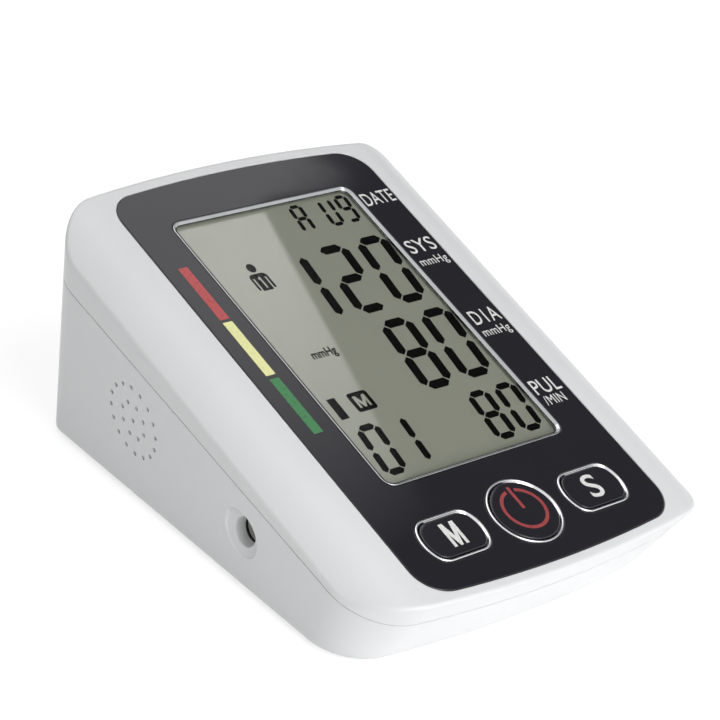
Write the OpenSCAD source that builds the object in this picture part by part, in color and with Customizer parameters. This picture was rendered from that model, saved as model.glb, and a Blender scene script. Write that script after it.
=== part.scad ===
// Upper arm blood pressure monitor: a drafted wedge housing with a sloping black panel.
// World frame: +Z up, +X right, the user sits on the -Y side, origin under the middle of the body.
// Panel frame: x right, t up the slope from the panel's front edge, w out of the panel, depth = -w.

/* [Front panel] */
// Angle of the sloping panel above the table
tilt = 18.4; // [16:0.1:21]
// Width of the black panel
panel_w = 76.5; // [74:0.5:82]
// Length of the black panel along the slope
panel_l = 128.2; // [126:0.1:136]
// Corner radius of the black panel
panel_r = 8; // [5:0.5:11]
// Thickness of the black panel
panel_t = 1.3; // [1:0.1:1.6]
// Radius of the bowed front and back ends
bow_r = 340; // [260:10:500]
// Gap between the panel and its recess
panel_gap = 0.15; // [0.1:0.01:0.25]

/* [Housing] */
// Width from the panel to the side wall, measured at panel level
side_border = 15.15; // [14.5:0.05:18]
// Length of housing ahead of the panel
front_border = 3; // [2.6:0.1:5]
// Length of housing behind the panel
back_border = 3.4; // [2.8:0.1:6]
// Draft of the side walls against the panel's normal
side_draft = 11.3; // [9:0.1:12.5]
// Draft of the front and back walls against the panel's normal
end_draft = 13.7; // [12:0.1:15]
// Plan radius of the two front corners at panel level
front_corner_r = 15.7; // [14:0.1:17]
// Plan radius of the two back corners at panel level
back_corner_r = 13.3; // [12:0.1:15]
// Loss of corner radius for each millimetre of depth
corner_taper = 0.14; // [0.1:0.01:0.17]
// Flat margin between the panel and the rolled side
roll_margin = 2.2; // [1.6:0.1:3]
// Radius of the rolled side of the top cover
roll_r = 12.8; // [12.4:0.1:16]
// Softening of the crease above the walls
edge_soft = 1.2; // [0.6:0.1:1.8]
// Softening of the bottom edge
base_soft = 1.6; // [0.8:0.1:2]
// Depth of the case bottom below the panel's front edge
base_depth = 22.07; // [21.6:0.1:26]
// Thickness of the housing walls
wall = 2.2; // [1.8:0.1:2.5]
// Depth of the underside of the ceiling below the panel
ceiling_d = 3.4; // [3:0.1:3.6]
// Thickness of the case floor
floor_t = 2.4; // [2.2:0.1:3]
// Depth of the parting line at the front
part_depth = 7.3; // [6:0.1:8]
// Angle of the parting line against the panel
part_slope = 3.6; // [2.5:0.1:4.5]
// Visible gap along the parting line
part_gap = 0.35; // [0.2:0.05:0.5]
// Height of the tongue that joins the two shells
lip_h = 1.6; // [1:0.1:2]

/* [Display] */
// Width of the panel beside the window frame
window_side = 10.9; // [10:0.1:13]
// Distance of the window frame from the panel's front edge
window_front = 30.1; // [28.5:0.1:34]
// Length of the panel behind the window frame
window_back = 12.35; // [11:0.05:18]
// Corner radius of the window frame
window_r = 3; // [2:0.1:4]
// Face width of the window frame
rim_w = 0.9; // [0.6:0.1:1.4]
// Thickness of the clear window
pane_t = 0.8; // [0.6:0.1:1]
// Thickness of the display cell
cell_t = 2.4; // [2:0.1:2.8]
// Depth of the top of the main board
board_d = 8; // [7.8:0.1:8.6]
// Thickness of the main board
board_t = 1.6; // [1:0.1:2]

/* [Buttons] */
// Distance of the button row from the panel's front edge
button_t = 13.9; // [13:0.1:15]
// Spacing of the buttons
button_pitch = 21.65; // [21:0.05:24]
// Radius of the power button's ring
power_r = 9.2; // [8:0.1:9.6]
// Radius of the side arcs of the two outer buttons' rings
pill_r = 8.9; // [8:0.1:9.2]
// Half height of the two outer buttons' rings
pill_h = 5.95; // [5:0.05:6.4]
// Face width of the bright rings
ring_w = 0.85; // [0.6:0.05:1.1]
// Gap around a button inside its ring
button_gap = 0.15; // [0.1:0.01:0.25]
// Travel of the buttons
button_travel = 0.5; // [0.3:0.05:0.6]

/* [Batteries] */
// Radius of a battery
battery_r = 7.25; // [7:0.05:7.3]
// Length of a battery
battery_l = 50.5; // [49:0.1:50.6]
// Gap around the batteries
battery_gap = 0.4; // [0.3:0.05:0.6]
// Room from the battery bay to the back end of the body
bay_end = 13.65; // [13:0.05:16]
// Room for the springs and plates at the two ends
contact_room = 6.5; // [6.2:0.1:7]
// Thickness of the battery bay's walls
bay_wall = 1.4; // [1:0.1:1.6]
// Thickness of the battery door
door_t = 1.5; // [1.3:0.1:1.7]
// Overlap of the door past the bay
door_lap = 2.6; // [2:0.1:3]
// Travel that frees the battery door
door_travel = 8; // [6:0.5:9]

/* [Air system] */
// Distance of the air socket from the panel's front edge, along the table
jack_y = 48.8; // [46:0.1:50]
// Height of the air socket against the panel's front edge
jack_z = -6.45; // [-7.5:0.05:-5.5]
// Radius of the air socket's bore
jack_r = 3.3; // [2.6:0.05:3.5]
// Length of the air socket's bore
jack_l = 9; // [7:0.1:10]
// Radius of the round flat sunk around the air socket
spot_r = 5.9; // [5:0.1:6.4]
// Room from the left wall to the pump motor
pump_side = 42.95; // [42:0.05:44]
// Radius of the pump motor
motor_r = 12; // [10:0.1:12.2]
// Length of the pump motor
motor_l = 31; // [27:0.5:33]
// Radius of the pump shaft
shaft_r = 1; // [0.8:0.05:1.2]
// Radius of the hose nozzles
nozzle_r = 1.5; // [1.2:0.05:1.7]
// Outer radius of the silicone hoses
hose_r = 2.3; // [2.1:0.05:2.5]
// Travel of the valve plunger
valve_travel = 1.2; // [0.8:0.1:1.5]

/* [Speaker] */
// Distance of the grille from the panel's front edge, along the table
grille_y = 90; // [86:0.5:92]
// Height of the grille against the panel's front edge
grille_z = 0.4; // [-1:0.1:1]
// Radius of the outer ring of holes
grille_r = 8.9; // [8:0.1:9.2]
// Radius of a grille hole
grille_hole_r = 0.6; // [0.5:0.05:0.8]
// Radius of the speaker
speaker_r = 10; // [9.4:0.1:10.5]
// Depth of the speaker's basket
speaker_t = 4.2; // [3.6:0.1:5]

/* [Fasteners and feet] */
// Height of the rubber feet below the case
foot_h = 0.9; // [0.6:0.1:1.5]
// Radius of the rubber feet
foot_r = 3.4; // [3:0.1:3.6]
// Radius of the case screws
screw_r = 1.45; // [1.2:0.05:1.6]
// Length of the case screws under the head
screw_l = 11; // [9:0.5:12]
// Radius of the main board's screws
board_screw_r = 1; // [0.8:0.05:1.1]
// Gap between a pin and its hole
fit_gap = 0.05; // [0.03:0.01:0.08]

/* [Hidden] */
$fn = 48;
fine_fn = 96;
eps = 0.01;
far = 200;

// Outline of the housing at a depth d below the panel, drawn in by e
n_bow = 10;
n_cor = 7;
s1 = n_bow;
s2 = s1 + n_cor;
s3 = s2 + 1 + n_cor;
s4 = s3 + n_bow;
s5 = s4 + n_cor;
n_edge = s5 + n_cor + 1;
function on_arc(cx, cy, r, a) = [cx + r * cos(a), cy + r * sin(a)];
function edge_point(i, hw, t0, t1, r0, r1) =
    let (x0 = hw - r0, x1 = hw - r1)
    let (a0 = asin(x0 / (bow_r - r0)), a1 = asin(x1 / (bow_r - r1)))
    let (c0 = t0 + bow_r - (bow_r - r0) * cos(a0), c1 = t1 - bow_r + (bow_r - r1) * cos(a1))
    i <= s1 ? on_arc(0, t0 + bow_r, bow_r, -90 - a0 + 2 * a0 * i / n_bow)
    : i <= s2 ? on_arc(x0, c0, r0, -90 + a0 + (90 - a0) * (i - s1) / n_cor)
    : i <= s3 ? on_arc(x1, c1, r1, (90 - a1) * (i - s2 - 1) / n_cor)
    : i <= s4 ? on_arc(0, t1 - bow_r, bow_r, 90 - a1 + 2 * a1 * (i - s3) / n_bow)
    : i <= s5 ? on_arc(-x1, c1, r1, 90 + a1 + (90 - a1) * (i - s4) / n_cor)
    : on_arc(-x0, c0, r0, 180 + (90 - a0) * (i - s5 - 1) / n_cor);
function half_w(d) = panel_w / 2 + side_border - d * tan(side_draft);
function wall_point(i, d, e) =
    let (end_in = d * tan(end_draft) + e, r_in = d * corner_taper + e)
    edge_point(i, half_w(d) - e, end_in - front_border, panel_l + back_border - end_in,
        max(2, front_corner_r - r_in), max(2, back_corner_r - r_in));
function panel_point(i, e) =
    edge_point(i, panel_w / 2 - e, e, panel_l - e, panel_r - e, panel_r - e);

// The top of the cover: flat over the panel and its margin, then a roll down to the crease
roll_x = panel_w / 2 + roll_margin;
function roll_run(x) = min(max(abs(x) - roll_x, 0), roll_r * 0.98);
function roll_d(x) = roll_r - sqrt(roll_r * roll_r - roll_run(x) * roll_run(x));
function roll_slope(x) = roll_run(x) / sqrt(roll_r * roll_r - roll_run(x) * roll_run(x));
function crease_d(i, d = 4, n = 12) = n == 0 ? d : crease_d(i, roll_d(wall_point(i, d, 0)[0]), n - 1);
function base_d(t) = base_depth + t * tan(tilt);
function bottom_d(i, e, up, d = 30, n = 5) =
    n == 0 ? d : bottom_d(i, e, up, base_d(wall_point(i, d, e)[1]) - up, n - 1);
function at_depth(p, d) = [p[0], p[1], -d];
function blend(a, c, b, u) = (1 - u) * (1 - u) * a + 2 * u * (1 - u) * c + u * u * b;

// Corner points of the soft edges, for one step around the outline
function crease_in(i, d) =
    let (p = wall_point(i, d, edge_soft / sqrt(1 + pow(roll_slope(wall_point(i, d, 0)[0]), 2))))
    at_depth(p, roll_d(p[0]));
function crease_mid(i, d) = at_depth(wall_point(i, d, 0), d);
function crease_out(i, d) = at_depth(wall_point(i, d + edge_soft, 0), d + edge_soft);
function bottom_point(i, e, up) = let (d = bottom_d(i, e, up)) at_depth(wall_point(i, d, e), d);
roll_steps = [0, 0.16, 0.32, 0.47, 0.61, 0.74, 0.86];
function roll_point(i, f) =
    let (a = panel_point(i, -panel_gap), b = crease_in(i, crease_d(i)))
    let (p = [a[0] + (b[0] - a[0]) * f, a[1] + (b[1] - a[1]) * f])
    at_depth(p, roll_d(p[0]));
crease_mids = [for (i = [0:n_edge - 1]) crease_d(i)];
around = [0:n_edge - 1];
skin_rings = concat(
    [for (f = roll_steps) [for (i = around) roll_point(i, f)]],
    [for (u = [0, 1 / 3, 2 / 3, 1]) [for (i = around) let (d = crease_mids[i])
        blend(crease_in(i, d), crease_mid(i, d), crease_out(i, d), u)]],
    [for (u = [0, 1 / 2, 1]) [for (i = around)
        blend(bottom_point(i, 0, base_soft), bottom_point(i, 0, 0), bottom_point(i, base_soft, 0), u)]]);
skin_y = [for (ring = skin_rings) for (p = ring) p[1] * cos(tilt) - p[2] * sin(tilt)];
case_z = foot_h;
panel_y = -(min(skin_y) + max(skin_y)) / 2;
panel_z = case_z + base_depth * cos(tilt);

// Depth at which the inner wall starts under the roll, and how far it is drawn in there
shoulder_d = ceiling_d + 5;
ceiling_in = side_border - roll_margin - sqrt(roll_r * roll_r - pow(roll_r - ceiling_d + 1.9, 2))
    + wall + 0.3;
function inner_rings(e) = [
    [for (i = around) at_depth(wall_point(i, ceiling_d, ceiling_in + e), ceiling_d)],
    [for (i = around) at_depth(wall_point(i, shoulder_d, wall + e), shoulder_d)],
    [for (i = around) bottom_point(i, wall + e, floor_t / cos(tilt))]];

// Places in the world frame
window_w = panel_w - 2 * window_side;
window_l = panel_l - window_front - window_back;
socket_y = panel_y + jack_y;
socket_z = panel_z + jack_z;
speaker_y = panel_y + grille_y;
speaker_z = panel_z + grille_z;
function wall_x(y, z) = half_w((y - panel_y) * sin(tilt) - (z - panel_z) * cos(tilt));
floor_z = case_z + floor_t;
bay_w = 8 * battery_r + 5 * battery_gap;
bay_l = battery_l + contact_room;
bay_back = (max(skin_y) - min(skin_y)) / 2 - bay_end;
bay_front = bay_back - bay_l;
battery_z = case_z + door_t + 0.35 + battery_r;
bay_top = battery_z + battery_r + 0.6;
roof_z = bay_top + bay_wall;
door_w = bay_w + 2 * door_lap;
plate_room = 1.1;
function battery_x(k) = (k - 1.5) * (2 * battery_r + battery_gap);

// Electronics
window_mid = window_front + window_l / 2;
cell_d = panel_t + 0.35;
cell_w = window_w + 1.8;
cell_l = window_l + 2.4;
holder_wall = 1.6;
holder_w = cell_w + 2 * holder_wall + 0.4;
holder_l = cell_l + 2 * holder_wall + 0.4;
opening_gap = 0.3;
zebra_t = window_mid - cell_l / 2 + 2;
board_front = 4.6;
board_back = panel_l - 35.5;
board_w = panel_w - 4.6;
boss_x = holder_w / 2 + 2.9;
boss_t = [window_front - 5, board_back - 5];
boss_r = 2.4;
switch_t = 3.5;
plunger_up = 0.8;
plunger_r = 1.7;
cap_rise = 0.3;
flange_d = panel_t + 0.3;
flange_t = 0.9;
flange_w = 0.7;

// Screws: one pair in front, one pair behind, each in a bottom boss and a top tower
screw_x = [half_w(base_depth) - 12, bay_w / 2 + bay_wall + 5.8];
screw_y = [panel_y + 18.5, bay_back - 4.5];
join_z = [case_z + 8.4, case_z + 25];
seat_t = 2;
head_r = 2.7;
head_t = 1.7;
screw_boss_r = 3.9;
foot_x = [half_w(base_depth) - 12, bay_w / 2 + bay_wall + 6.2];
foot_y = [panel_y + 30, bay_back - 14];
foot_sink = 0.6;

// Pump above the battery bay
pump_y = bay_back - 10.5;
pump_z = roof_z + motor_r + 1.4;
motor_x = pump_side - wall_x(pump_y, pump_z);
head_l = 20;
head_half = 11.8;
cushion_t = 1.3;
crank_room = 6;
crank_r = 4;
crank_off = 1.2;
armature_r = 8.2;

// Valve, manifold and sensor
valve_x = 9;
valve_y = socket_y - 17;
valve_l = 22;
valve_half = 7.4;
valve_z = floor_z + valve_half;
manifold_x = -14;
manifold_y = bay_front - bay_wall - 9;
manifold_z = socket_z - 3;
manifold_r = 2.6;
nozzle_l = 5;
sensor_t = 17;
sensor_x = -16;
sensor_half = 4;
sensor_h = 5;

// Frames of reference
module on_panel() translate([0, panel_y, panel_z]) rotate([tilt, 0, 0]) children();
module mirrored() {
    children();
    mirror([1, 0, 0]) children();
}
module along_x(x0, l, r, y = 0, z = 0) translate([x0, y, z]) rotate([0, 90, 0]) cylinder(r = r, h = l);
module block(x0, x1, y0, y1, z0, z1) translate([x0, y0, z0]) cube([x1 - x0, y1 - y0, z1 - z0]);

// A closed solid through a list of rings that run around the same steps
module lofted(rings) {
    n = len(rings[0]);
    last = len(rings) - 1;
    sides = [for (k = [0:last - 1]) for (i = [0:n - 1]) let (j = (i + 1) % n)
        for (f = [[k * n + i, k * n + j, k * n + n + j], [k * n + i, k * n + n + j, k * n + n + i]]) f];
    caps = [[for (i = [n - 1:-1:0]) i], [for (i = [0:n - 1]) last * n + i]];
    polyhedron([for (ring = rings) for (p = ring) p], concat(sides, caps), convexity = 6);
}
module housing_skin() on_panel() lofted(skin_rings);
module housing_inside(e = 0) on_panel() lofted(inner_rings(e));

// Everything above the parting plane, which lies lower by the given drop
module above_parting(drop = 0) {
    on_panel() translate([0, 0, -part_depth - drop]) rotate([-part_slope, 0, 0])
        translate([-far / 2, -far / 2, 0]) cube([far, 2 * far, far]);
}
module below_parting(drop = 0) {
    on_panel() translate([0, 0, -part_depth - drop]) rotate([-part_slope, 0, 0])
        translate([-far / 2, -far / 2, -far]) cube([far, 2 * far, far]);
}

// Flat shapes in the panel frame
module panel_plate(e, d0, d1) {
    translate([0, 0, -d1]) linear_extrude(d1 - d0) polygon([for (i = around) panel_point(i, e)]);
}
module soft_rect(w, l, r) {
    square([w - 2 * r, l], center = true);
    square([w, l - 2 * r], center = true);
    for (sx = [-1, 1], sy = [-1, 1])
        translate([sx * (w / 2 - r), sy * (l / 2 - r)]) circle(r = r);
}
module window_plate(e, d0, d1) {
    translate([0, window_mid, -d1]) linear_extrude(d1 - d0)
        soft_rect(window_w - 2 * e, window_l - 2 * e, window_r - min(e, window_r - 0.6));
}
module rect_plate(w, l, t, d0, d1) translate([-w / 2, t - l / 2, -d1]) cube([w, l, d1 - d0]);

// Outline of an outer button: side arcs of radius r that blend into flats at a height h
function pill_quarter(r, h) =
    let (b = asin(h / r) / 2, p = r * [cos(b), sin(b)], s = (h - p[1]) / cos(b))
    let (c = [p[0] - s * sin(b), h])
    concat([for (i = [0:3]) r * [cos(b * i / 3), sin(b * i / 3)]],
        [for (u = [1 / 4, 1 / 2, 3 / 4, 1]) blend(p, c, c - [s, 0], u)]);
function pill(r, h) =
    let (q = pill_quarter(r, h), n = len(q) - 1)
    concat(q, [for (i = [n:-1:0]) [-q[i][0], q[i][1]]], [for (i = [1:n]) [-q[i][0], -q[i][1]]],
        [for (i = [n:-1:1]) [q[i][0], -q[i][1]]]);
module button_shape(kind, e) {
    if (kind == "power") circle(r = power_r - e, $fn = fine_fn);
    else polygon(pill(pill_r - e, pill_h - e));
}
function button_x(kind) = kind == "power" ? 0 : kind == "memory" ? -button_pitch : button_pitch;
module button_plate(kind, e, d0, d1) {
    translate([button_x(kind), button_t, -d1]) linear_extrude(d1 - d0) button_shape(kind, e);
}
kinds = ["memory", "power", "set"];
button_in = ring_w + button_gap;

// Soft hoses and leads follow a smooth curve through hand-set points
function curve_point(p, k, u) =
    let (n = len(p) - 1, a = p[max(k - 1, 0)], b = p[k], c = p[k + 1], d = p[min(k + 2, n)])
    0.5 * (2 * b + u * (c - a) + u * u * (2 * a - 5 * b + 4 * c - d)
        + u * u * u * (3 * b - a - 3 * c + d));
function smooth_path(p, steps) = concat(
    [for (k = [0:len(p) - 2]) for (s = [0:steps - 1]) curve_point(p, k, s / steps)], [p[len(p) - 1]]);
function unit(v) = v / norm(v);
function heading(p, i) = unit(p[min(i + 1, len(p) - 1)] - p[max(i - 1, 0)]);
function square_to(a, t) = unit(a - (a * t) * t);
function hoop(c, t, a, r, sides) =
    [for (k = [0:sides - 1]) c + r * (cos(360 * k / sides) * a + sin(360 * k / sides) * cross(a, t))];
// Rings along a path, each one turned as little as possible from the one before
function hoops(p, r, sides, lean) =
    [for (i = 0, a = square_to(lean, heading(p, 0)); i < len(p);
        i = i + 1, a = square_to(a, heading(p, min(i, len(p) - 1)))) hoop(p[i], heading(p, i), a, r, sides)];
module swept(points, r, steps = 4, sides = 10, lean = [0, 0.3, 1])
    lofted(hoops(smooth_path(points, steps), r, sides, lean));
module along(p, q, r, l) {
    v = unit(q - p);
    translate(p) rotate([0, acos(v[2]), atan2(v[1], v[0])]) translate([0, 0, -eps])
        cylinder(r = r, h = l + eps);
}
module hose(points, lean = [0, 0.3, 1]) {
    n = len(points) - 1;
    difference() {
        swept(points, hose_r, lean = lean);
        along(points[0], points[1], nozzle_r + fit_gap, nozzle_l);
        along(points[n], points[n - 1], nozzle_r + fit_gap, nozzle_l);
    }
}

// Housing
module board_posts() {
    on_panel() mirrored() for (t = boss_t)
        translate([boss_x, t, -board_d]) cylinder(r = boss_r, h = board_d - ceiling_d + eps);
}
module top_towers() {
    mirrored() for (k = [0, 1])
        translate([screw_x[k], screw_y[k], join_z[k]]) cylinder(r = screw_boss_r - 0.5, h = far / 2);
}
module top_cover() color("whitesmoke") difference() {
    union() {
        intersection() {
            difference() {
                housing_skin();
                housing_inside();
            }
            above_parting();
        }
        intersection() {
            housing_skin();
            union() {
                board_posts();
                difference() {
                    top_towers();
                    on_panel() translate([-far / 2, -far / 2, -ceiling_d / 2]) cube(far * 2);
                }
            }
        }
    }
    on_panel() {
        panel_plate(-panel_gap, -1, panel_t);
        rect_plate(holder_w + 2 * opening_gap, holder_l + 2 * opening_gap, window_mid, 0, ceiling_d + 1);
        for (kind = kinds) button_plate(kind, -0.9, 0, ceiling_d + 1);
        mirrored() for (t = boss_t) translate([boss_x, t, -board_d - 1])
            cylinder(r = board_screw_r + fit_gap, h = board_d - panel_t - 0.4);
    }
    // rebate for the tongue of the bottom case
    difference() {
        intersection() {
            housing_inside(-wall / 2 - 0.1);
            below_parting(-lip_h - 0.2);
            above_parting(1);
        }
        top_towers();
    }
    mirrored() for (k = [0, 1]) translate([screw_x[k], screw_y[k], join_z[k] - 1])
        cylinder(r = screw_r + fit_gap, h = screw_l - seat_t + 2);
}
module case_posts() {
    mirrored() for (k = [0, 1])
        translate([screw_x[k], screw_y[k], case_z]) cylinder(r = screw_boss_r, h = join_z[k] - case_z);
}
module bay_box() block(-bay_w / 2 - bay_wall, bay_w / 2 + bay_wall, bay_front - bay_wall,
    bay_back + bay_wall, case_z, roof_z);
cradle_x = [motor_x + 5, motor_x + motor_l - 8];
cradle_t = 3;
cushion_r = motor_r + cushion_t;
module pump_cradle() {
    for (x = cradle_x)
        block(x, x + cradle_t, pump_y - cushion_r - 1.5, pump_y + cushion_r + 1.5, roof_z - eps,
            pump_z - 4);
}
speaker_x = wall_x(speaker_y, speaker_z - speaker_r) - wall / cos(side_draft) - 0.4;
module speaker_ring() {
    along_x(-wall_x(speaker_y, speaker_z) - 2, wall_x(speaker_y, speaker_z) + 2 - speaker_x + speaker_t,
        speaker_r + 1.3, speaker_y, speaker_z);
}
spot_x = wall_x(socket_y, socket_z) - 1.2;
jack_seat = wall_x(socket_y, socket_z) - wall / cos(side_draft) - 2;
module socket_boss() along_x(-jack_seat - 5, 5, spot_r + 1.4, socket_y, socket_z);
jack_body_r = jack_r + 1.4;
seal_t = 0.8;
jack_flange_t = 1.5;
jack_end = jack_seat - seal_t - jack_l;
module jack_saddle() {
    block(-jack_end - 5.2, -jack_end - 3.4, socket_y - jack_body_r - 1.6, socket_y + jack_body_r + 1.6,
        case_z, socket_z);
}
inlet_x = wall_x(socket_y, socket_z) - wall / cos(side_draft) - 0.7;
inlet_l = 13;
inlet_half = 4.6;
module inlet_shelf() {
    block(inlet_x - inlet_l, inlet_x + 1, socket_y - inlet_half - 1.4, socket_y + inlet_half + 1.4,
        case_z, socket_z - inlet_half);
    for (s = [-1, 1]) translate([0, s * (inlet_half + 0.8), 0])
        block(inlet_x - inlet_l, inlet_x + 1, socket_y - 0.6, socket_y + 0.6, case_z, socket_z);
}
module valve_ribs() {
    for (s = [-1, 1]) block(valve_x + 4, valve_x + valve_l - 4, valve_y + s * (valve_half + 0.8) - 0.6,
        valve_y + s * (valve_half + 0.8) + 0.6, case_z, floor_z + 7);
}
module manifold_post() translate([manifold_x, manifold_y, case_z])
    cylinder(r = 2.4, h = manifold_z - manifold_r - case_z);
// Slots that the door's side tabs run in, each with a notch where the tab drops free
tab_l = 6;
tab_w = 1.3;
tab_t = 0.7;
tab_y = [bay_front + 3, bay_front + 24];
slot_gap = 0.3;
module door_slots() {
    mirrored() for (y = tab_y) {
        block(door_w / 2 - 1, door_w / 2 + tab_w + 0.3, y - slot_gap, y + tab_l + door_travel + slot_gap,
            case_z + door_t - tab_t - slot_gap, case_z + door_t + slot_gap);
        block(door_w / 2 - 1, door_w / 2 + tab_w + 0.3, y + door_travel - slot_gap,
            y + tab_l + door_travel + slot_gap, 0, case_z + door_t);
    }
}
module grille_holes() {
    along_x(-far / 2, far / 2 - speaker_x + 1, grille_hole_r, speaker_y, speaker_z, $fn = 16);
    for (ring = [[8, 0.5, 22.5], [16, 1, 0]]) for (k = [0:ring[0] - 1]) {
        a = 360 * k / ring[0] + ring[2];
        along_x(-far / 2, far / 2 - speaker_x + 1, grille_hole_r, speaker_y + ring[1] * grille_r * cos(a),
            speaker_z + ring[1] * grille_r * sin(a), $fn = 16);
    }
}
module case_lip() {
    difference() {
        intersection() {
            housing_inside(-wall / 2);
            above_parting(part_gap + eps);
            below_parting(-lip_h);
        }
        housing_inside();
    }
}
module bottom_case() color("whitesmoke") difference() {
    union() {
        intersection() {
            difference() {
                housing_skin();
                housing_inside();
            }
            below_parting(part_gap);
        }
        case_lip();
        intersection() {
            housing_skin();
            below_parting(part_gap);
            union() {
                difference() {
                    speaker_ring();
                    along_x(-speaker_x, speaker_t + 1, speaker_r + 0.15, speaker_y, speaker_z);
                }
                socket_boss();
                inlet_shelf();
            }
        }
        intersection() {
            housing_skin();
            union() {
                case_posts();
                bay_box();
                pump_cradle();
                valve_ribs();
                manifold_post();
                jack_saddle();
            }
        }
    }
    // battery bay, door recess and the door's slots
    block(-bay_w / 2, bay_w / 2, bay_front, bay_back, -1, bay_top);
    block(-door_w / 2 - slot_gap, door_w / 2 + slot_gap, bay_front - door_lap - slot_gap, far,
        -1, case_z + door_t + slot_gap);
    door_slots();
    // speaker
    along_x(-wall_x(speaker_y, speaker_z) + wall / cos(side_draft) + 1, 8, speaker_r - 1.2, speaker_y,
        speaker_z);
    grille_holes();
    // air socket
    along_x(-far / 2, far / 2 - spot_x, spot_r, socket_y, socket_z);
    along_x(-far / 2, far / 2 - jack_seat + 1, jack_r + 0.1, socket_y, socket_z);
    along_x(-jack_end - 6, 4, jack_body_r + 0.1, socket_y, socket_z);
    // power inlet
    along_x(inlet_x - 0.5, far / 2, 3.3, socket_y, socket_z);
    along_x(wall_x(socket_y, socket_z) - 1, far / 2, 4.6, socket_y, socket_z);
    block(inlet_x - inlet_l - 1, inlet_x, socket_y - inlet_half - 0.1, socket_y + inlet_half + 0.1,
        socket_z - inlet_half, far);
    // pump seat
    along_x(cradle_x[0] - 1, cradle_x[1] + cradle_t - cradle_x[0] + 2, cushion_r, pump_y, pump_z);
    // screws and feet
    mirrored() for (k = [0, 1]) {
        translate([screw_x[k], screw_y[k], -1]) cylinder(r = screw_r + 0.3, h = far / 2);
        translate([screw_x[k], screw_y[k], -1]) cylinder(r = head_r + 0.3, h = join_z[k] - seat_t + 1);
        translate([foot_x[k], foot_y[k], -1]) cylinder(r = foot_r + 0.1, h = case_z + foot_sink + 1);
    }
}

// Front panel and display
module fascia_panel() color([0.12, 0.12, 0.14]) on_panel() difference() {
    panel_plate(0, 0, panel_t);
    window_plate(-fit_gap, -1, panel_t + 1);
    for (kind = kinds) button_plate(kind, -fit_gap, -1, panel_t + 1);
}
module lcd_rim() color("silver") on_panel() difference() {
    window_plate(0, -0.15, panel_t);
    window_plate(rim_w, -1, panel_t + 1);
}
module lcd_window() color([0.85, 0.9, 0.9, 0.3]) on_panel()
    window_plate(rim_w + fit_gap, 0.3, 0.3 + pane_t);
module lcd_cell() color([0.57, 0.59, 0.52]) on_panel()
    rect_plate(cell_w, cell_l, window_mid, cell_d, cell_d + cell_t);
module lcd_holder() color("white") on_panel() difference() {
    rect_plate(holder_w, holder_l, window_mid, cell_d, board_d);
    rect_plate(cell_w + 0.2, cell_l + 0.2, window_mid, 0, cell_d + cell_t + 0.05);
    rect_plate(cell_w - 6, cell_l - 12, window_mid, 0, cell_d + cell_t + 1.6);
    rect_plate(cell_w - 3.5, 2.4, zebra_t, 0, board_d + 1);
    mirrored() for (t = boss_t) translate([boss_x, t, -board_d - 1]) cylinder(r = boss_r + 0.3, h = 9);
}
module zebra_strip() color("lightgray") on_panel()
    rect_plate(cell_w - 4, 2, zebra_t, cell_d + cell_t, board_d);
module main_board() color("seagreen") on_panel() difference() {
    translate([-board_w / 2, board_front, -board_d - board_t]) cube([board_w, board_back - board_front, board_t]);
    mirrored() for (t = boss_t) translate([boss_x, t, -board_d - board_t - 1])
        cylinder(r = board_screw_r + 0.2, h = board_t + 2);
    mirrored() translate([screw_x[0], (screw_y[0] - panel_y - board_d * sin(tilt)) / cos(tilt),
        -board_d - board_t - 1]) cylinder(r = screw_boss_r + 2, h = board_t + 2);
}
chip_w = 14;
chip_t = sensor_t + 24;
module controller_chip() color("dimgray") on_panel()
    rect_plate(chip_w, chip_w, chip_t, board_d + board_t, board_d + board_t + 1.6);
module board_screws() color("silver") on_panel() mirrored() for (t = boss_t) {
    translate([boss_x, t, -board_d - board_t - 1.2]) cylinder(r = 1.9, h = 1.2);
    translate([boss_x, t, -board_d - board_t]) cylinder(r = board_screw_r, h = board_t + 4);
}

// Buttons, their rings and their switches
module button(kind) on_panel() {
    button_plate(kind, button_in, -cap_rise, flange_d + flange_t);
    button_plate(kind, button_in - flange_w, flange_d, flange_d + flange_t);
    translate([button_x(kind), button_t, -board_d + switch_t + plunger_up])
        cylinder(r = 2, h = board_d - switch_t - plunger_up - flange_d);
}
module ring(kind) color("silver") on_panel() difference() {
    button_plate(kind, 0, -0.35, panel_t);
    button_plate(kind, ring_w, -1, panel_t + 1);
}
module switch_body(kind) color("darkslategray") on_panel() translate([button_x(kind), button_t, -board_d])
    difference() {
        translate([-3, -3, 0]) cube([6, 6, switch_t]);
        translate([0, 0, switch_t - 2]) cylinder(r = plunger_r + fit_gap, h = 3);
    }
module switch_plunger(kind) color("orange") on_panel()
    translate([button_x(kind), button_t, -board_d + switch_t - 1.2])
        cylinder(r = plunger_r, h = plunger_up + 1.2);
module button_memory() color([0.12, 0.12, 0.14]) button("memory");
module button_power() color([0.12, 0.12, 0.14]) button("power");
module button_set() color([0.12, 0.12, 0.14]) button("set");
module ring_memory() ring("memory");
module ring_power() ring("power");
module ring_set() ring("set");
module switch_memory() switch_body("memory");
module switch_power() switch_body("power");
module switch_set() switch_body("set");
module plunger_memory() switch_plunger("memory");
module plunger_power() switch_plunger("power");
module plunger_set() switch_plunger("set");

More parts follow.
